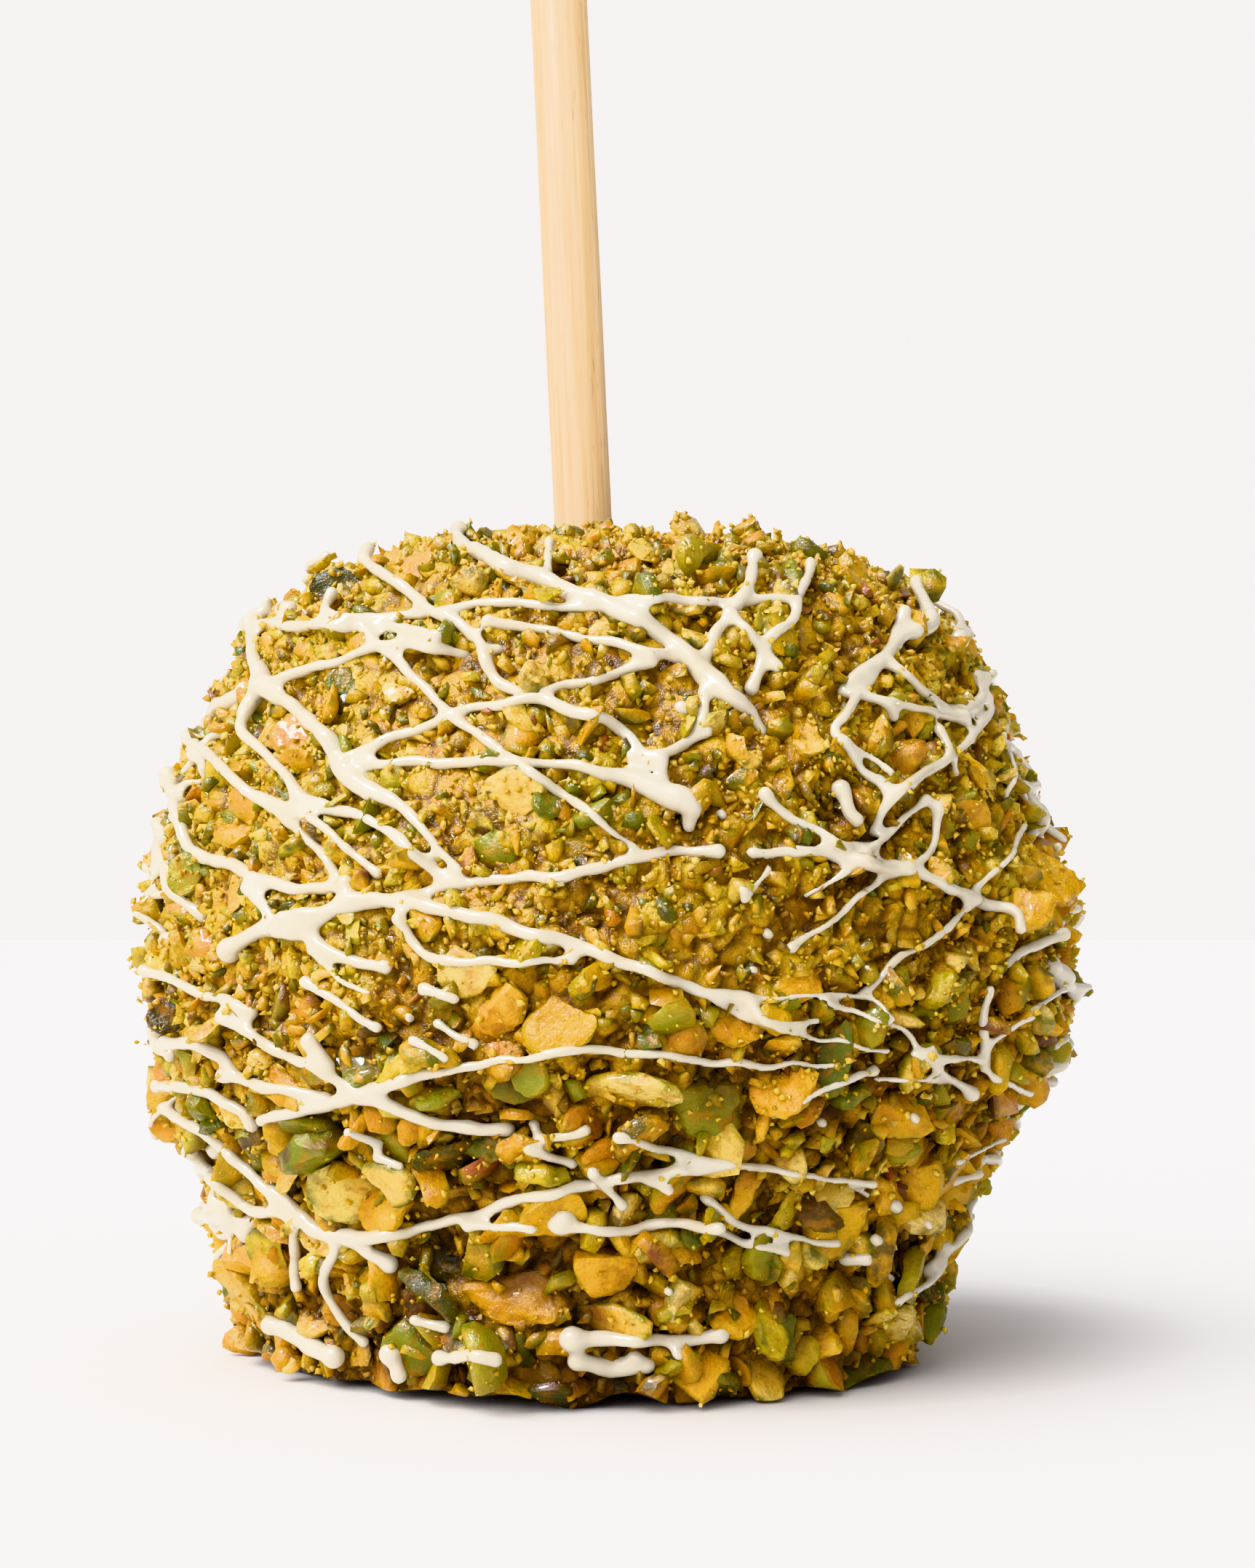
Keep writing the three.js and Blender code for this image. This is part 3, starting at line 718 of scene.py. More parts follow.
# the largest and brightest pieces on the front: across and up as seen from the spoon, length, width and
# thickness, spin, family, tone and rind tone
heroNuts = [
    (44.5, 48.5, 7.5, 7, 6, 20, "block", 0.1, 0.0), (42.5, 45, 6, 5, 4, 70, "block", 0.24, 0.1),
    (45.6, 47.2, 6, 5, 4, 60, "block", 0.36, 0.1), (47, 37.6, 5.4, 4.8, 4, 10, "block", 0.9, 0.5),
    (2.2, 83.7, 4.6, 4.4, 4.4, 30, "cube", 0.58, 0.2), (5.8, 83.5, 4.6, 4, 4, 10, "cube", 0.36, 0.1),
    (-4.2, 83.4, 4.6, 4, 4, 0, "block", 0.28, 0.1), (-8.4, 83.5, 4.2, 4, 4, 40, "block", 0.5, 0.2),
    (-22.5, 15.5, 8.2, 7, 4.6, 40, "block", 0.05, 0.0), (-8, 6.6, 11.5, 5.8, 5, 4, "block", 0.04, 0.1),
    (0, 9.6, 7.5, 6, 5, 82, "tip", 0.46, 0.1), (1, 3.2, 9, 4.2, 4, 4, "half", 0.55, 0.42),
    (3, 27.4, 10, 4.6, 4.5, 10, "half", 0.62, 0.4), (11.5, 25.7, 9, 6.8, 4.5, -24, "block", 0.87, 0.5),
    (18, 27.2, 7, 6.4, 5, 50, "block", 0.46, 0.1), (24, 30.5, 8, 3.6, 3, 84, "slice", 0.93, 0.7),
    (4.5, 32.7, 5, 3.6, 3.2, 0, "block", 0.92, 0.7), (-3.8, 33, 7, 5.6, 4, 30, "slice", 0.03, 0.1),
    (-10.6, 35, 9.2, 6.4, 5, 52, "wedge", 0.47, 0.1), (20, 38, 6, 3.6, 3.4, 5, "block", 0.47, 0.2),
    (-16, 9.8, 6.8, 5, 4, -14, "block", 0.91, 0.6), (-19.3, 7.4, 5.6, 5.4, 4, 30, "cube", 0.38, 0.2),
    (-36, 5.2, 6.8, 6.4, 5, 70, "block", 0.36, 0.1), (-38, 11.5, 6.8, 4.4, 4, 8, "block", 0.02, 0.1),
    (-42, 23.8, 7, 4.6, 4, 30, "slice", 0.35, 0.1), (-36.7, 20, 5, 4.6, 4, 0, "cube", 0.35, 0.1),
    (-30.5, 21.6, 7, 3.9, 3.6, 10, "half", 0.05, 0.1), (-25.2, 22.4, 6, 4.6, 4, 15, "cube", 0.48, 0.2),
    (-32, 27.4, 7, 4.6, 4, -15, "block", 0.06, 0.1), (-37.2, 25.3, 4.6, 4.4, 4, 0, "block", 0.66, 0.3),
    (-24.5, 29.6, 6, 4.8, 4, 20, "block", 0.9, 0.6), (-27.4, 15, 5.6, 3.4, 3.4, 80, "tip", 0.1, 0.1),
    (-15.5, 16.2, 7.4, 2.6, 2.6, 4, "stick", 0.57, 0.1), (-32.2, 16.6, 4, 3.2, 3, 0, "block", 0.93, 0.7),
    (-41, 42, 4.8, 4.6, 4, 30, "cube", 0.5, 0.1), (-44, 34.5, 4.4, 3.8, 3, 40, "slice", 0.975, 0.9),
    (-47, 29, 3.6, 3, 3, 0, "block", 0.36, 0.1), (-42.3, 48.5, 4.4, 3.6, 3, 70, "half", 0.84, 0.5),
    (-39, 47.3, 4.4, 4.2, 3.4, 0, "cube", 0.34, 0.1), (-37, 53.5, 6, 5, 4, 20, "block", 0.03, 0.1),
    (-22.6, 51.6, 5.4, 4.6, 4, 55, "cube", 0.86, 0.5), (-9, 57, 6.6, 4.8, 4, 18, "half", 0.56, 0.72),
    (-5.8, 55.6, 4, 3, 2.8, 70, "slice", 0.92, 0.7), (-31, 63, 5.6, 4.4, 3.6, 20, "slice", 0.35, 0.1),
    (-8, 65.3, 5, 4, 3.4, -20, "block", 0.56, 0.1), (-26.5, 68.3, 3.6, 3, 2.8, 0, "slice", 0.92, 0.7),
    (-21, 68, 4.2, 3.8, 3, 20, "block", 0.62, 0.3), (-33, 72.5, 3.6, 3, 3, 0, "cube", 0.45, 0.3),
    (-27, 78.2, 6.4, 4, 3, 8, "slice", 0.972, 0.88), (-32.5, 76.6, 6, 4, 3, 30, "block", 0.33, 0.1),
    (-27.5, 80.6, 4.6, 3, 3, 10, "block", 0.12, 0.1), (-19, 80.2, 4.6, 4.2, 3.4, 60, "slice", 0.2, 0.2),
    (-15, 79, 5.6, 2.8, 2.6, 25, "stick", 0.2, 0.2), (-3, 82, 6.4, 4.6, 4, -12, "wedge", 0.74, 0.35),
    (28.5, 78, 4.8, 4, 3.4, 0, "cube", 0.56, 0.3), (21, 63, 4.8, 4.6, 3.6, 10, "block", 0.54, 0.2),
    (37.5, 54.6, 6, 3.8, 3, -30, "slice", 0.33, 0.1), (36.3, 57, 4.6, 3.4, 3, 40, "block", 0.83, 0.4),
    (40.6, 42, 5, 4.6, 4, 45, "cube", 0.8, 0.4), (34, 37.3, 5.4, 4.4, 4, 65, "block", 0.76, 0.3),
    (41.5, 19.5, 4.4, 3.4, 2.6, 40, "slice", 0.93, 0.7), (31.5, 21, 5.6, 3.6, 2.6, 10, "slice", 0.53, 0.1),
    (30, 11.6, 5, 4.4, 4, 0, "cube", 0.5, 0.2), (20, 13.5, 4.6, 3.6, 3, 75, "tip", 0.34, 0.1),
    (25, 6.2, 4.6, 3, 2.6, 0, "half", 0.82, 0.5), (35.5, 6.6, 4, 3, 3, 0, "block", 0.972, 0.9),
    (22, 1.6, 6, 4.6, 4, 0, "block", 0.05, 0.1), (13.5, 4, 6, 4.6, 4, 25, "block", 0.1, 0.1),
    (-14, 1.8, 6.5, 4.8, 4, 10, "block", 0.974, 0.9), (31, 3, 5.5, 4.6, 4, 0, "cube", 0.14, 0.2),
    (-29, 3.4, 5.6, 4.6, 4, 0, "block", 0.58, 0.2), (-0.4, 62.2, 2.6, 2, 1.6, 60, "block", 1.0, 1.0),
    (-2.5, 23.4, 5, 4.4, 4, 0, "slice", 0.38, 0.1), (-12, 22, 5.4, 4.6, 4, 40, "block", 0.93, 0.6),
    (8, 21.4, 5, 4, 3.4, 0, "block", 0.9, 0.5), (13.5, 33.6, 5.4, 4.4, 3.6, 15, "block", 0.2, 0.2),
    (37, 27.5, 5, 4.2, 3.6, 30, "block", 0.06, 0.1), (44, 33, 5, 4.4, 4, 10, "block", 0.2, 0.1),
    (-17, 26.4, 5.5, 4.2, 3.6, 15, "block", 0.86, 0.5), (-9.5, 27.4, 5.4, 4, 3.6, -10, "half", 0.85, 0.5),
    (-13.5, 39, 6, 4.6, 3.8, 35, "slice", 0.64, 0.2), (6, 14.8, 4.6, 4, 3.4, 0, "block", 0.9, 0.6),
    (11, 8.4, 5, 4, 3.6, 30, "cube", 0.06, 0.1), (17, 5.6, 4.4, 4, 3.4, 0, "block", 0.5, 0.1),
    (26, 14.6, 4.6, 4, 3.6, 20, "cube", 0.74, 0.2), (35.5, 14.2, 5, 4.4, 4, 40, "block", 0.2, 0.2),
    (-41, 15, 4.6, 4, 3.6, 0, "block", 0.12, 0.1), (-44.6, 40, 4.4, 4, 3.4, 10, "block", 0.7, 0.3),
]

# how far a piece is lifted, in shares of its length, at the middle and past which places across
heroLift = {"from": 36, "to": 42, "middle": 0.12, "side": 0.32, "lean": 0.35, "thicker": 1.2, "crease": 32,
            "narrow": 0.35, "narrower": 0.95}


def copyPieces(name, placed, finish):
    # joins copies of finished shapes, each moved by its own matrix and marked with its own colour numbers
    points, faces, marks = [], [], {"tone": [], "rindTone": [], "rind": []}
    base = 0
    for source, matrix, tone, rindTone in placed:
        local = vertexArray(source)
        rind = np.empty(len(local), dtype=np.float32)
        source.attributes["rind"].data.foreach_get("value", rind)
        points.append(local @ np.array(matrix.to_3x3()).T + np.array(matrix.translation))
        for label, value in (("tone", tone), ("rindTone", rindTone), ("rind", rind)):
            marks[label].append(value + np.zeros(len(local)))
        faces += [tuple(base + i for i in p.vertices) for p in source.polygons]
        base += len(local)
    mesh = meshFrom(name, np.concatenate(points).tolist(), faces)
    for label, values in marks.items():
        setFloats(mesh, label, np.concatenate(values))
    shadeSmooth(mesh)
    mesh.set_sharp_from_angle(angle=math.radians(heroLift["crease"]))
    mesh.materials.append(finish)
    return newObject(name, mesh)


def makeHeroNuts():
    h = heroLift
    placed, spots = [], []
    byFamily = {}
    for piece in largeShapes.objects:
        byFamily.setdefault(piece.name.split("_")[1], []).append(piece.data)
    for number, (across, up, length, width, thick, spin, family, tone, rindTone) in enumerate(heroNuts):
        point, normal, _, way = landing(coreTree, across, up)
        while point is None:
            across *= inward
            point, normal, _, way = landing(coreTree, across, up)
        facing = (normal - way * h["lean"]).normalized()
        side = (Vector((1, 0, 0)) - facing * facing.x).normalized()
        turn = math.radians(spin)
        first = side * math.cos(turn) + facing.cross(side) * math.sin(turn)
        halfLong, halfWide, _ = nutShapes[family][0]
        slim = 1 if halfWide > h["narrow"] else h["narrower"]
        scale = (length / (2 * halfLong), width / (2 * halfWide) * slim, thick * h["thicker"])
        axes = [axis * size * mm for axis, size in zip((first, facing.cross(first), facing), scale)]
        matrix = Matrix(axes).transposed().to_4x4()
        lift = np.interp(abs(across), (h["from"], h["to"]), (h["middle"], h["side"]))
        matrix.translation = point + normal * lift * length * mm
        placed.append((byFamily[family][number % len(byFamily[family])], matrix, tone, rindTone))
        spots.append((point, length * mm))
    return copyPieces("largeNuts", placed, nutFinish), spots


largeNuts, heroSpots = makeHeroNuts()
markRise(largeNuts)
print("largest nuts set:", len(heroSpots))

# where the coarse pieces gathered, by height and by degrees from the front, and the bare ring round the stick
coatRule = {
    "coarseTop": 41, "coarseFade": 20, "sideFrom": 54, "sideFade": 20, "sideTop": 68, "sideTopFade": 12,
    "sideShare": 0.5, "floor": 0.3, "floorFade": 1.5, "ringAcross": -1.9, "ring": 4.2, "ringFade": 2.0,
    "ringFrom": 60, "roomRound": 0.46,
}


def markSurface(spots, topShare, footShare):
    # coarse is 1 where the big pieces gathered, at the foot, and half that round the sides; share is how
    # thickly the nuts lie, with room left for the stick and the largest pieces
    c = coatRule
    place = vertexArray(core.data) / mm
    x, y, z = place.T
    turn = np.abs(np.degrees(np.arctan2(x, -y)))
    sides = c["sideShare"] * np.clip((turn - c["sideFrom"]) / c["sideFade"], 0, 1)
    sides *= np.clip((c["sideTop"] - z) / c["sideTopFade"], 0, 1)
    coarse = np.maximum(np.clip((c["coarseTop"] - z) / c["coarseFade"], 0, 1), sides)
    share = np.clip((z - c["floor"]) / c["floorFade"], 0, 1)
    reach = np.hypot(x - c["ringAcross"], y)
    share *= np.clip((reach - c["ring"]) / c["ringFade"], 0, 1) + (z < c["ringFrom"])
    share = np.clip(share, 0, 1) * (topShare + (footShare - topShare) * coarse)
    for point, length in spots:
        away = np.linalg.norm(place - np.array(point / mm), axis=1)
        share *= away > c["roomRound"] * length / mm
    setFloats(core.data, "coarse", coarse)
    setFloats(core.data, "share", share)


boxMargin = {"nuts": 1.6 * mm, "chocolate": 1.8 * mm}


def scatter(name, surface, shapes, finish):
    thing = newObject(name, surface.copy())
    thing.data.materials.clear()
    values = dict(zip(scatterInputs, nutScatters[name]))
    nodeModifier(thing, nutScatter, {**values, "Shapes": shapes, "Finish": finish})
    bake(thing)
    keepInPlace(thing, boxMargin["nuts"])
    markRise(thing)
    print(name, len(thing.data.polygons), "faces")
    return thing


nutScatter = scatterTree()
markSurface(heroSpots, 0.05, 1.0)
coarseNuts = scatter("coarseNuts", core.data, coarseShapes, nutFinish)
markSurface([(p, length * 0.7) for p, length in heroSpots], 0.6, 0.85)
mediumNuts = scatter("mediumNuts", core.data, mediumShapes, nutFinish)
markSurface([], 1.0, 0.75)
smallNuts = scatter("smallNuts", core.data, smallShapes, mealFinish)

# crumbs cling, in patches, where a face looks away from the apple's heart and lies far enough out
dustRule = {"heart": 40, "facing": 0.35, "outside": 37.84, "share": 0.65, "patch": 5, "uneven": 1.2,
            "lowLess": 0.6}


def joinedMesh(things, keepFace=None):
    points, faces, base = [], [], 0
    for thing in things:
        mesh = thing.data
        points.append(vertexArray(mesh))
        faces += [tuple(base + i for i in p.vertices) for p in mesh.polygons
                  if keepFace is None or keepFace(p)]
        base += len(mesh.vertices)
    return np.concatenate(points), faces


def outFacing(polygon):
    away = polygon.center - Vector((0, 0, dustRule["heart"] * mm))
    return (polygon.normal.dot(away.normalized()) > dustRule["facing"]
            and away.length > dustRule["outside"] * mm)


def makeDust():
    # crumbs and dust clinging to the outer sides of everything, less of it low down where the big pieces are
    d = dustRule
    points, faces = joinedMesh([core, largeNuts, coarseNuts, mediumNuts, smallNuts], outFacing)
    surface = meshFrom("dusty", points.tolist(), faces)
    patchy = np.array([noise.noise(Vector(p) / (d["patch"] * mm)) for p in points.tolist()])
    share = np.clip(d["share"] + d["uneven"] * patchy, 0.1, 1)
    share *= 1 - d["lowLess"] * lowDown(points[:, 2] / mm)
    setFloats(surface, "coarse", np.zeros(len(points)))
    setFloats(surface, "share", share)
    return [scatter(name, surface, grainShapes, gritFinish) for name in ("nutCrumbs", "nutDust")]


nutCrumbs, nutDust = makeDust()


# ---- white chocolate ----

# sizes in millimetres: samples and beads along a strand, how far it bridges gaps and eases its depth, how it
# wobbles, sinks in and thins out to the sides, how it swells along its way and at its ends, which share of
# the depths nearby counts, in per cent, and the voxel, fillet and smoothing of the melted web
drizzle = {
    "sample": 0.22, "step": 0.3, "bridge": 1.2, "ease": 1.6, "wobble": 0.45, "wobbleSize": 3.0, "sink": 0.1,
    "thin": 0.58, "thinnest": 0.3, "sides": (-36, -26, 14, 22), "leftShare": 1.2, "rightShare": 0.8,
    "swell": 0.2, "swellLength": 2.6, "ripple": 0.12, "rippleLength": 0.9, "trunk": 0.95, "endSwell": 0.3,
    "endLength": 0.9, "nearShare": 22, "tries": 6, "fewest": 8, "shortest": 3,
    "voxel": 0.24, "fillet": 0.45, "smoothing": 2, "most": 190000, "frontTo": -6, "backFrom": -6.6,
}

# each strand: its width, then its way over the front, across and up as seen from the spoon, with a third
# number where its width changes
frontStrands = [
    # upper left
    [3.0, (-17, 85, 2.4), (-12, 81.5), (-6, 79), (2, 76), (8, 72), (11.5, 68.6, 3.8), (15, 65.6, 2.4),
     (16.4, 63.4, 1.8)],
    [2.1, (-27, 83), (-19, 77), (-14, 74), (-10, 68), (0, 64.7), (5, 60.5)],
    [1.7, (-28, 78), (-28, 75.6), (-19, 75.4), (-12, 76.8), (-3, 76.2), (1, 76.5)],
    [1.9, (-38, 74.5), (-26, 74.4), (-17, 73.5)],
    [1.8, (-25, 74), (-20, 69.5), (-15.5, 65), (-10, 61), (-5, 57.5), (3.5, 51.3, 1.1)],
    [1.8, (-35, 68.5), (-29, 70.2), (-22, 72.4), (-14, 71.5)],
    [2.2, (-37, 76, 1.6), (-36, 71, 2.2), (-35.4, 68, 3.2), (-37.4, 64, 1.9), (-33, 59.4, 1.7),
     (-30.5, 56.2, 2.4),
     (-24, 54.2, 1.7), (-19, 50.6), (-14.5, 46.8, 1.4)],
    [2.4, (-35.4, 68), (-31, 65.2), (-28, 61.6, 3), (-25.6, 58.2, 3.6), (-20, 55, 1.9), (-15, 49, 1.4)],
    [1.8, (-27, 60.5), (-20, 63.5), (-16, 65), (-8, 67), (0, 69), (5, 70.5)],
    [1.9, (-25, 60.2), (-8, 60.2), (-2, 59.7), (8, 56.5, 4.2), (9, 53.5, 1.6)],
    [1.7, (-43, 63), (-38, 58.5), (-30, 52), (-27, 48)],
    [1.6, (-37, 57.5), (-30, 54), (-23, 49)],
    [2.0, (-45, 59), (-43, 52), (-37, 49), (-31, 47), (-26, 47.5)],
    [1.7, (-46, 54), (-45, 48), (-41, 44.5)],
    [2.0, (-33, 44), (-22, 46), (-13, 48), (-4, 48.5), (5, 50.7), (12, 51)],
    [1.8, (-12, 75), (0, 72.8), (8, 70.8)],
    [1.6, (-5.5, 83), (-5.5, 79)],
    # upper right
    [1.8, (1, 76.7), (7, 77.2), (12.7, 76.7), (16, 77.1), (20.2, 77.1)],
    [2.2, (15.7, 81.6), (14.8, 78.1), (13.2, 75.7), (11.3, 72.5), (9.9, 69.6)],
    [2.2, (21.4, 80.9), (20.4, 77.1), (19.3, 74.8), (16.9, 72.5), (15.5, 67.8)],
    [2.0, (13.2, 75.7), (16, 72.5), (18.3, 70.1)],
    [1.8, (10.4, 67.6), (10.6, 64.8), (9, 63)],
    [2.6, (31, 75.7), (30, 72.5, 3), (28.6, 70.6, 3), (25.8, 68.7, 3.2), (24.6, 67.4, 2.4)],
    [2.6, (32.4, 79), (33.8, 74.8, 3.6), (31, 73.4, 3), (30, 72.5)],
    [2.3, (28.6, 70.6), (26.8, 67.3), (24.9, 65), (23.9, 63.5), (25.4, 61.7, 1.8), (27.2, 59.3, 1.9),
     (29.6, 57)],
    [1.9, (26.8, 67.3), (29.1, 66.4, 2.3), (30, 64.5, 2)],
    [2.2, (29.6, 70.6), (32.4, 68.2), (35.2, 65.9, 2.6), (37.5, 65.4, 3.6), (39, 67.3, 2.2)],
    [2.0, (30, 66.4), (34.3, 65.4), (37.1, 65, 2.8)],
    [2.0, (39.9, 66.8), (39.7, 65), (36.1, 61.2, 2.2), (32.4, 58.8, 2.6), (29.6, 56, 2.4),
     (27.7, 53.2, 2)],
    [1.7, (34.7, 63.5, 2.2), (36.1, 60.7), (36.6, 58.8)],
    [1.3, (24.9, 62.6), (30, 59.3)],
    [2.6, (24.4, 57.4, 3.2), (25.4, 55.1), (26.3, 54.2)],
    [2.0, (16.9, 57), (19.7, 54.2), (23.5, 52.3), (27.7, 50.9, 2.8)],
    [1.9, (15.5, 50.9, 1.5), (21.6, 50.9, 2.4), (26.3, 49.9, 3), (30, 49.2, 3)],
    [1.7, (33.3, 56.5), (30, 53.2), (27.7, 51.4), (23.9, 48, 1.5), (20.7, 46.6, 1.1)],
    [1.9, (34.7, 55.6, 2.2), (34.3, 53.2), (33.3, 50.2), (30.5, 49.3), (26.3, 46.2, 1.7),
     (22.1, 42.9, 1.6), (19.3, 41)],
    [2.5, (30, 49.3), (33.3, 48.8), (36.1, 47.1), (38.5, 45.7, 3), (42.5, 44.8), (43.2, 42.9, 2)],
    [1.8, (38.5, 46.2), (34.7, 42.4), (30.5, 40.1), (28.2, 37.7), (25.8, 35.9, 1.4)],
    [1.6, (38, 47.1), (41.6, 49.9), (43.4, 53.7)],
    [1.5, (40.4, 69.2), (38.4, 66.6)],
    [1.4, (41.4, 63.1), (42.6, 59.3), (41.4, 56.5)],
    [1.3, (16.9, 49), (14.6, 46.2)],
    [1.9, (5.5, 60.8), (11, 63.5)],
    [1.7, (6, 60.5), (6.5, 58)],
    [1.6, (3, 61), (4, 59.5)],
    # lower left
    [2.3, (-38.2, 40.8, 2.8), (-36, 42.4, 2.2), (-33.6, 43.2, 2.9), (-30, 43.6), (-28, 44.7),
     (-25.7, 46.1, 2.4),
     (-18, 45.3), (-5, 42), (5, 38.6, 1.9), (10, 36.6, 1.5), (14.8, 33.9, 1.3), (19.3, 32.4, 1.3),
     (29.4, 30.4, 1.2)],
    [1.8, (-36.4, 47.2), (-34.6, 45), (-33.4, 43.2)],
    [2, (-26.6, 47.8, 2.2), (-25.8, 46.2)],
    [1.6, (-47.3, 38.5), (-44.3, 37.7), (-41.2, 36.3), (-38.5, 35.6), (-35.9, 34.4)],
    [1.8, (7, 37.6), (11, 36.3), (14.8, 35.9, 2.2), (17.1, 33.5, 1.6), (22.3, 33.5, 1.3)],
    [1.2, (14.8, 35.9), (26.8, 35.9), (29.8, 33.7)],
    [2.2, (-33.5, 43), (-31, 42.4), (-27.5, 40.3), (-22.2, 39, 1.8)],
    [1.8, (-21, 44), (-17, 40), (-3, 39.8, 1.3)],
    [1.1, (-30, 40.8), (-27.5, 38.1), (-24, 36.2)],
    [1.6, (-30.5, 37.5), (-23, 32.8)],
    [1.8, (-18.5, 37), (-15, 35.8)],
    [1.8, (-39, 34), (-33, 30.3), (-26, 27)],
    [1.9, (-45, 31.5), (-40, 30.5), (-38, 28)],
    [1.8, (-39, 28), (-33, 26.5), (-28, 25.5)],
    [1.8, (-46, 27), (-40, 26), (-36, 22.7)],
    [1.6, (-35, 23.3), (-25, 26, 2.8), (-15, 28.7), (0, 30.5), (12, 29.2), (24.5, 29, 1.2)],
    [2.2, (-25, 26), (-17, 23), (-9.5, 22.3)],
    [1.8, (-45, 24.5), (-39, 20.5), (-33, 15)],
    [1.8, (-42, 18.5), (-36, 14.5), (-32, 13), (-31.5, 6)],
    [2.0, (-33.5, 16), (-27, 11.5, 2.6), (-17, 12.8), (-6, 15.8), (3, 17.5), (12, 18.7)],
    [2.6, (-26, 11.3), (-22, 8.8)],
    [1.9, (-27, 11.5), (-28.5, 7.7), (-27.4, 4), (-24.4, 0.4)],
    [2.4, (-34, 2.6), (-30, 1, 3.4), (-27.4, -0.8, 3.2)],
    [2.2, (-16.7, -0.8), (-10.8, -0.8)],
    [2.4, (-21.8, -0.6, 3), (-20.6, -2.8)],
    [1.8, (-19.4, 2.9), (-15.7, 2.4)],
    [2.2, (-41.2, 13.6), (-36.6, 13)],
    [2.6, (-2.6, -1), (1, -1.8, 3.4), (4.6, -1.6)],
    [2.4, (-30.2, 31.5), (-28.5, 28.7)],
    [1.6, (-7, 23), (-6, 21.5), (-1.5, 22.3)],
    [1.8, (-7.5, 20.5), (-3, 19)],
    [1.7, (-1, 18), (2, 14.5)],
    [1.9, (-4, 13.5, 2.8), (-3, 12.6), (2, 12), (6, 13), (12, 12.2)],
    [1.6, (-14, 12.5), (-7, 12.2)],
    [1.5, (-17, 33), (-13, 31)],
    [1.4, (-19.5, 31.5), (-16, 29.5)],
    [1.5, (-26, 22), (-23, 21)],
    [1.4, (-23, 19.5), (-20.5, 18.5)],
    [2.4, (-3, 1.2, 3), (5, 0.8, 2.2), (12, 1.4)],
    # lower right
    [1.4, (23, 35.2), (26.8, 34.2), (30.7, 32.8), (33.4, 30.2, 1.9), (39.1, 29.5, 1.7)],
    [1.6, (32.1, 30.2), (34.9, 28.2), (37.8, 26.2, 2.9)],
    [1.3, (33.8, 30.9), (34.3, 28.2)],
    [1.4, (20.6, 25.3, 1.1), (24, 27, 1.7), (28.1, 28.6, 2.2)],
    [1.1, (28.1, 27.7), (35.6, 27.3)],
    [2.0, (39.2, 28.8), (39.1, 32.4, 2.4), (40, 36.8, 1.8)],
    [1.7, (40.2, 27.7), (42.4, 26.6), (44, 26.1)],
    [1.2, (40.2, 31.4), (44.2, 34.1)],
    [2.4, (47.4, 42.4), (43.7, 41), (41.6, 39.4)],
    [1.5, (47.4, 36.8), (44.1, 34.5)],
    [1.6, (1.6, 21.8), (7, 20.2), (12.3, 19.1), (19.3, 18), (27.9, 16.9)],
    [1.4, (25.2, 17), (27.4, 15.6)],
    [1.6, (4.8, 17.5), (6.7, 16.1)],
    [1.7, (10.5, 15.6), (13, 13.4), (17, 12), (24, 10.6)],
    [1.5, (12, 12), (15, 10.8), (19, 9.8)],
    [2.4, (24.7, 9.2), (27.4, 8.9)],
    [1.9, (35.2, 10.4, 3), (34, 7.3), (30, 4.6)],
    [1.3, (36.5, 19.1), (41.2, 21.2)],
    [1.8, (36, 17), (38.6, 18)],
]

# single drops: across, up, width
frontDrops = [(8, 66, 1.8), (15.2, 39, 1.3), (17, 42.5, 1.6), (14.5, 47, 1.3), (-10.3, 1.3, 3),
              (30, 14.5, 2.4), (33.3, 12.9, 1.6), (27.9, 11.3, 2), (29.5, 7.6, 1.6), (22.3, 23.1, 1.7),
              (31.9, 23.7, 1.8), (3.2, -0.5, 1.8), (7.5, -0.2, 1.5), (-4.5, 12.8, 2.8), (-29, 40, 1.6),
              (6.5, 6, 1.3), (12, 55, 1.2), (-11, 72, 1.3), (27, 39, 1.2), (-20, 34, 1.3)]

# round the sides and back: from each side the spoon swings through passes that cross one another
sidePasses = {"turns": [62, 104, 146, 188, 230, 272, 304], "perTurn": 15, "reach": (11, 30), "steep": 17 / 25,
              "slopes": (-1, -0.5, 0.1, 0.4, 0.9), "shift": 13, "bow": 3.5, "forks": 0.5,
              "width": (1.2, 2.3), "lowest": 6, "highest": 80, "frontEdge": -17, "seed": 77}


def coatTree():
    points, faces = joinedMesh([core, largeNuts, coarseNuts, mediumNuts, smallNuts])
    return BVHTree.FromPolygons(points.tolist(), faces)


coat = coatTree()
print("coat ready for the chocolate")


def drape(widths, way, spoon, turn, rng):
    # follows the tops of the nuts and bridges the gaps between them, as a melted strand does
    d = drizzle
    shift = Vector((rng.uniform(0, 99), rng.uniform(0, 99), 0))
    phase = rng.uniform(0, 50)
    span = np.linalg.norm(np.diff(way, axis=0), axis=1).sum()
    count = max(d["fewest"], int(span / d["sample"]))
    runs = [[]]
    for across, up, width in catmullRom([tuple(p) + (w,) for p, w in zip(way, widths)], count):
        here = Vector((across / d["wobbleSize"], up / d["wobbleSize"], 0)) + shift
        across += d["wobble"] * noise.noise(here)
        up += d["wobble"] * noise.noise(here + Vector((31, 17, 5)))
        for _ in range(d["tries"]):
            point, _, distance, line = landing(coat, across, up, spoon, turn)
            if point is not None:
                break
            across *= inward
        if point is None or (turn is not None and point.y < sidePasses["frontEdge"] * mm):
            runs.append([])
            continue
        if turn is None:
            width *= np.interp(across, d["sides"], (d["leftShare"], 1, 1, d["rightShare"]))
        runs[-1].append((distance, line, width))
    return [bead for run in runs if len(run) > d["shortest"] for bead in layStrand(run, spoon, phase)]


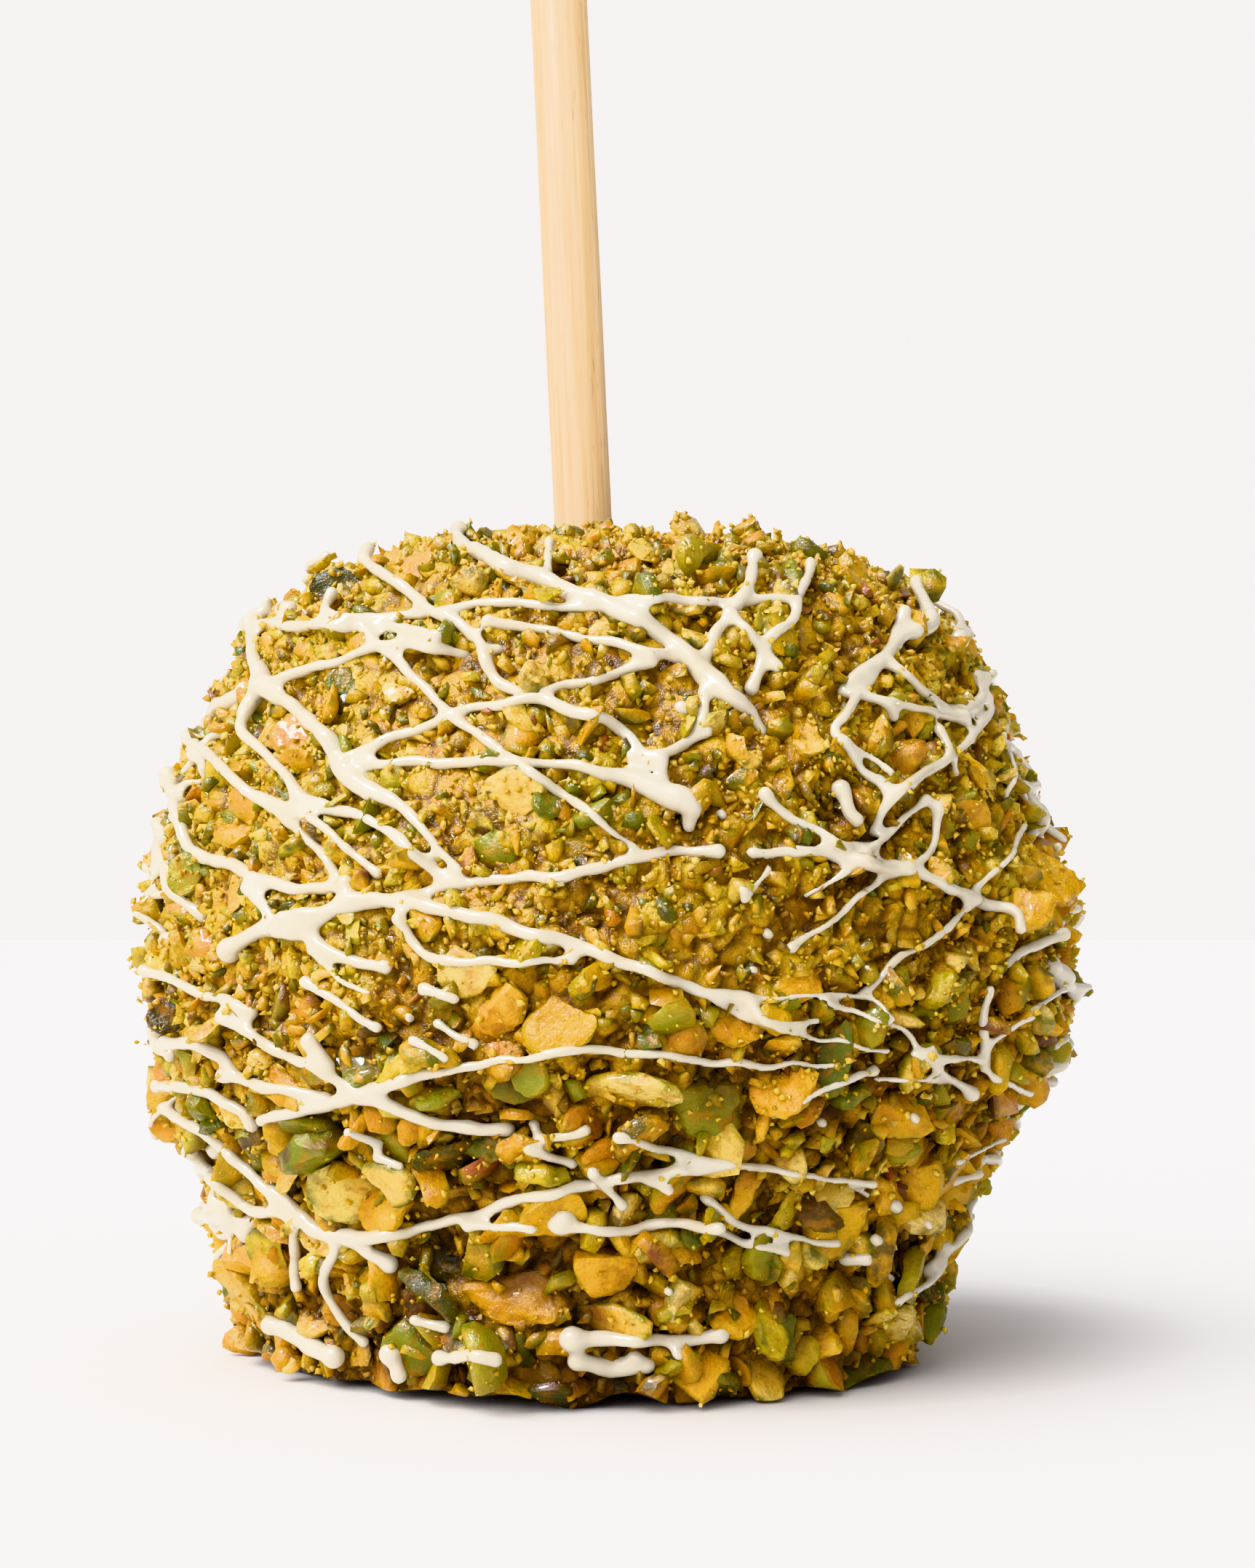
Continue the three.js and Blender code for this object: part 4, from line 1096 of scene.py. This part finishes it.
def layStrand(run, spoon, phase):
    # evens out the depth of one unbroken strand and strings beads along it
    d = drizzle
    depth = np.array([distance for distance, line, width in run]) / mm
    for reach, pick in ((d["bridge"], "near"), (d["ease"], "mean")):
        half = max(1, int(reach / d["sample"]))
        windows = np.lib.stride_tricks.sliding_window_view(np.pad(depth, half, mode="edge"), 2 * half + 1)
        depth = np.percentile(windows, d["nearShare"], axis=1) if pick == "near" else windows.mean(axis=1)
    strand = np.array([list(spoon / mm + line * (here - width / 2 * d["thin"] * d["sink"]))
                       for here, (distance, line, width) in zip(depth, run)])
    widths = np.array([width for distance, line, width in run])
    gone = np.concatenate([[0], np.cumsum(np.linalg.norm(np.diff(strand, axis=0), axis=1))])
    beads = []
    for s in np.arange(0, gone[-1], d["step"]):
        place = [np.interp(s, gone, column) for column in strand.T]
        swell = 1 + d["swell"] * noise.noise(Vector((s / d["swellLength"] + phase, 0, 0)))
        swell += d["ripple"] * noise.noise(Vector((s / d["rippleLength"], phase, 0)))
        taper = d["trunk"] + d["endSwell"] * max(0, 1 - min(s, gone[-1] - s) / d["endLength"])
        radius = np.interp(s, gone, widths) / 2 * d["thin"] * swell * taper
        beads.append((place, max(d["thinnest"], radius)))
    return beads


def sidePoints(rng):
    p = sidePasses
    strands = []
    for degrees in p["turns"]:
        turn = Matrix.Rotation(math.radians(degrees), 3, "Z")
        spoon = turn @ spoonPlace
        for i in range(p["perTurn"]):
            slope = rng.choice(p["slopes"]) * p["steep"]
            height = p["lowest"] + (p["highest"] - p["lowest"]) * (i + rng.random()) / p["perTurn"]
            reach = rng.uniform(*p["reach"])
            shift = rng.uniform(-p["shift"], p["shift"])
            bow = rng.uniform(-p["bow"], p["bow"])
            width = rng.uniform(*p["width"])
            bends = ((-1, -1, 0), (-0.3, -0.3, 1), (0.35, 0.4, 0.6), (1, 1, 0))
            way = [(shift + reach * along, height + slope * reach * rise + bow * bend)
                   for along, rise, bend in bends]
            swollen = [width, width * rng.uniform(0.9, 1.5), width * rng.uniform(0.8, 1.3), width * 0.8]
            strands.append((way, swollen, spoon, turn))
            if rng.random() < p["forks"]:
                side = rng.choice((-1, 1))
                across, up = way[2]
                fork = [(across, up), (across + 3, up + side * 2.5), (across + 6, up + side * 6)]
                strands.append((fork, [width, width * 0.8, width * 0.7], spoon, turn))
    return strands


def chocolatePoints():
    rng = random.Random(sidePasses["seed"])
    beads = []
    for base, *way in frontStrands:
        widths = [p[2] if len(p) > 2 else base for p in way]
        beads += drape(widths, [p[:2] for p in way], spoonPlace, None, rng)
    for across, up, width in frontDrops:
        beads += drape([width, width], [(across, up), (across + 0.4, up - 0.3)], spoonPlace, None, rng)
    for way, widths, spoon, turn in sidePoints(rng):
        beads += drape(widths, way, spoon, turn, rng)
    return beads


def strandTree():
    # beads along every strand melt together, and the corners where strands cross fill like wet chocolate
    tree, given = startTree("meltStrands", "Beads", [
        ("Voxel", "Float"), ("Fillet", "Float"), ("Smoothing", "Int")])
    bead = addNode(tree, "GeometryNodeInputNamedAttribute", ["bead"], "Attribute", data_type="FLOAT")
    fat = addNode(tree, "ShaderNodeMath", (bead, given["Fillet"]), operation="ADD")
    points = addNode(tree, "GeometryNodeMeshToPoints", {"Mesh": given["Beads"]})
    wet = addNode(tree, "GeometryNodePointsToVolume", {
        "Points": points, "Density": 1.0, "Voxel Size": given["Voxel"], "Radius": fat},
        resolution_mode="VOXEL_SIZE")
    skin = addNode(tree, "GeometryNodeVolumeToMesh", {"Volume": wet, "Threshold": 0.1})
    band = addNode(tree, "ShaderNodeMath", (given["Fillet"], 2.0), operation="MULTIPLY")
    shrunk = addNode(tree, "GeometryNodeMeshToVolume", {
        "Mesh": skin, "Density": 1.0, "Voxel Size": given["Voxel"], "Interior Band Width": band},
        resolution_mode="VOXEL_SIZE")
    melted = addNode(tree, "GeometryNodeVolumeToMesh", {
        "Volume": shrunk, "Threshold": 0.5, "Adaptivity": 0.0})
    place = addNode(tree, "GeometryNodeInputPosition")
    even = addNode(tree, "GeometryNodeBlurAttribute", {
        "Value": place, "Iterations": given["Smoothing"]}, data_type="FLOAT_VECTOR")
    calm = addNode(tree, "GeometryNodeSetPosition", {"Geometry": melted, "Position": even})
    smooth = addNode(tree, "GeometryNodeSetShadeSmooth", {"Geometry": calm})
    return endTree(tree, smooth, given["Finish"])


meltStrands = strandTree()


def meltBeads(name, beads):
    d = drizzle
    thing = newObject(name, meshFrom(name, [Vector(p) * mm for p, r in beads], []))
    setFloats(thing.data, "bead", [r * mm for p, r in beads])
    nodeModifier(thing, meltStrands, {
        "Voxel": d["voxel"] * mm, "Fillet": d["fillet"] * mm, "Smoothing": d["smoothing"],
        "Finish": chocolateFinish})
    bake(thing)
    count = sum(len(p.vertices) - 2 for p in thing.data.polygons)
    if count > d["most"]:
        thing.modifiers.new("thin", "DECIMATE").ratio = d["most"] / count
        bake(thing)
    thing.data.validate()
    shadeSmooth(thing.data)
    keepInPlace(thing, boxMargin["chocolate"])
    print(name, len(beads), "beads,", count, "triangles, kept", len(thing.data.polygons))
    return thing


allBeads = chocolatePoints()
frontDrizzle = meltBeads("frontDrizzle", [b for b in allBeads if b[0][1] < drizzle["frontTo"]])
backDrizzle = meltBeads("backDrizzle", [b for b in allBeads if b[0][1] >= drizzle["backFrom"]])


# ---- the stick ----

stickShape = {"radius": 3.0, "length": 140, "depth": 52, "entry": (-1.9, 0, 82),
              "leanLeft": 2.7, "leanBack": 0.6, "perRing": 96, "rings": 160, "round": 0.55,
              "roundSteps": 5, "rib": 0.05, "fineRib": 0.025}


def woodMaterial():
    # birch dowel, turned and sanded: pale, with fine straight grain along it and short dark flecks
    s = stickShape
    material, tree = startMaterial("birchDowel")
    upright = addNode(tree, "ShaderNodeMapping", {
        "Vector": addNode(tree, "ShaderNodeTexCoord", out="Object"),
        "Rotation": (math.radians(s["leanBack"]), math.radians(s["leanLeft"]), 0)})
    long, short = [addNode(tree, "ShaderNodeMapping", {"Vector": upright, "Scale": (1, 1, along)})
                   for along in (0.018, 0.12)]
    grain, broad = patterns(tree, ((0.5, 4, 0.6, 0), (2.2, 2, 0.5, 0)), long)
    fleck, = patterns(tree, [(0.34, 1, 0.5, 0)], short)
    pale = addNode(tree, "ShaderNodeValToRGB", [grain], stops=[
        (0.3, "#D0A86C"), (0.5, "#E4C494"), (0.72, "#EFD6AC")])
    endMaterial(tree, {
        "Base Color": layered(tree, pale, (
            (broad, 0.4, 0.65, 0.35, "#CFA264"), (fleck, 0.66, 0.74, 0.5, "#A87B48"))),
        "Roughness": 0.55, "IOR": 1.5}, 0.35, 0.12, grain)
    return material


def makeStick():
    s = stickShape
    turn = (Matrix.Rotation(math.radians(-s["leanBack"]), 4, "X")
            @ Matrix.Rotation(math.radians(-s["leanLeft"]), 4, "Y"))
    r, edge, length = s["radius"], s["round"], s["length"]
    corner = [(r - edge + edge * math.sin(a), edge * (1 - math.cos(a)))
              for a in np.linspace(0, math.pi / 2, s["roundSteps"])]
    profile = corner + [(r, z) for z in np.linspace(edge, length - edge, s["rings"])[1:-1]]
    profile += [(reach, length - z) for reach, z in reversed(corner)]
    points = []
    n = s["perRing"]
    for reach, z in profile:
        for i in range(n):
            a = 2 * math.pi * i / n
            rib = s["rib"] * noise.noise(Vector((math.cos(a) * 3, math.sin(a) * 3, z / 30)))
            rib += s["fineRib"] * noise.noise(Vector((math.cos(a) * 9, math.sin(a) * 9, z / 9)))
            out = min(r, reach * (1 + (rib - 0.02) / r))
            points.append(Vector((out * math.cos(a), out * math.sin(a), z - s["depth"])))
    ends = [tuple(reversed(range(n))), tuple(range(len(points) - n, len(points)))]
    placed = [(turn @ p + Vector(s["entry"])) * mm for p in points]
    mesh = meshFrom("woodenStick", placed, ringFaces(len(profile), n) + ends)
    for polygon in mesh.polygons:
        polygon.use_smooth = len(polygon.vertices) == 4
    mesh.materials.append(woodMaterial())
    return newObject("woodenStick", mesh)


woodenStick = makeStick()
print("stick turned")


# ---- table, backdrop and light ----

studio = {
    "tableSize": 6.0, "paper": "#E8E7E7", "wall": "#FBF7F7", "wallStrength": 1.36,
    "room": 0.74, "roomColour": "#FEFCFF", "window": 2.0, "windowWay": (-0.6, -0.7, 0.5),
    "card": 0.5, "cardWay": (0.93, -0.3, 0.2),
    "sun": 3.55, "sunColour": "#FFFDFA", "sunHeight": 46, "sunTurn": -60, "sunWidth": 80,
    "spark": 30.0, "sparkPlace": (-0.3, -0.32, 0.55), "sparkSize": 0.15,
}


def makeTable():
    half = studio["tableSize"] / 2
    corners = [(-half, -half, 0), (half, -half, 0), (half, half, 0), (-half, half, 0)]
    mesh = meshFrom("table", corners, [(0, 1, 2, 3)])
    material, tree = startMaterial("matPaper")
    endMaterial(tree, {"Base Color": studio["paper"], "Roughness": 0.75, "Specular IOR Level": 0.2})
    mesh.materials.append(material)
    return newObject("table", mesh)


def makeRoom():
    # a white room with a wide window in front on the left and a grey card on the right
    s = studio
    world = bpy.data.worlds.new("studio")
    bpy.context.scene.world = world
    world.use_nodes = True
    tree = world.node_tree
    tree.nodes.clear()
    way = addNode(tree, "ShaderNodeTexCoord", out="Generated")
    toWindow, toCard = [addNode(tree, "ShaderNodeVectorMath", (way, Vector(s[label]).normalized()), "Value",
                                operation="DOT_PRODUCT") for label in ("windowWay", "cardWay")]
    glow = addNode(tree, "ShaderNodeMath", (
        addNode(tree, "ShaderNodeMapRange", (toWindow, -0.2, 1.0)), 2.6), operation="POWER")
    even = addNode(tree, "ShaderNodeMath", (glow, s["window"], s["room"]), operation="MULTIPLY_ADD")
    dim = addNode(tree, "ShaderNodeMapRange", (toCard, 0.2, 0.7, 1.0, s["card"]))
    level = addNode(tree, "ShaderNodeMath", (even, dim), operation="MULTIPLY")
    room = addNode(tree, "ShaderNodeBackground", {"Color": s["roomColour"], "Strength": level})
    wall = addNode(tree, "ShaderNodeBackground", {"Color": s["wall"], "Strength": s["wallStrength"]})
    seen = addNode(tree, "ShaderNodeLightPath", out="Is Camera Ray")
    both = addNode(tree, "ShaderNodeMixShader", (seen, room, wall))
    addNode(tree, "ShaderNodeOutputWorld", {"Surface": both}, None)


def makeLamp(name, kind, source, values):
    # a lamp that shines from the source towards the origin
    data = bpy.data.lights.new(name, kind)
    for key, value in values.items():
        setattr(data, key, value)
    lamp = newObject(name, data)
    lamp.rotation_euler = (-source).to_track_quat("-Z", "Y").to_euler()
    return lamp


def makeLight():
    # a bright lamp high on the left, and a small one that only adds glints
    s = studio
    makeRoom()
    spark = makeLamp("sparkle", "AREA", Vector(s["sparkPlace"]), {
        "size": s["sparkSize"], "energy": s["spark"]})
    spark.location = s["sparkPlace"]
    spark.visible_diffuse = False
    turn, height = math.radians(s["sunTurn"]), math.radians(s["sunHeight"])
    source = Vector((math.sin(turn) * math.cos(height), -math.cos(turn) * math.cos(height), math.sin(height)))
    makeLamp("highLight", "SUN", source, {
        "energy": s["sun"], "angle": math.radians(s["sunWidth"]), "color": linearColour(s["sunColour"])[:3]})


table = makeTable()
makeLight()
bpy.context.scene.view_settings.view_transform = "Khronos PBR Neutral"
print("table and light set")


# ---- attach the pieces to the root body and hide the solids they stand in for ----

for shapes in (largeShapes, coarseShapes, mediumShapes, smallShapes, grainShapes):
    for piece in list(shapes.objects):
        bpy.data.objects.remove(piece)
    bpy.data.collections.remove(shapes)

for piece in (core, largeNuts, coarseNuts, mediumNuts, smallNuts, nutCrumbs, nutDust,
              frontDrizzle, backDrizzle):
    keepInPlace(piece, boxMargin["nuts"])
    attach(piece, "root")
    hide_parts("coated_apple")
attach(woodenStick, "root")
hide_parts("stick")
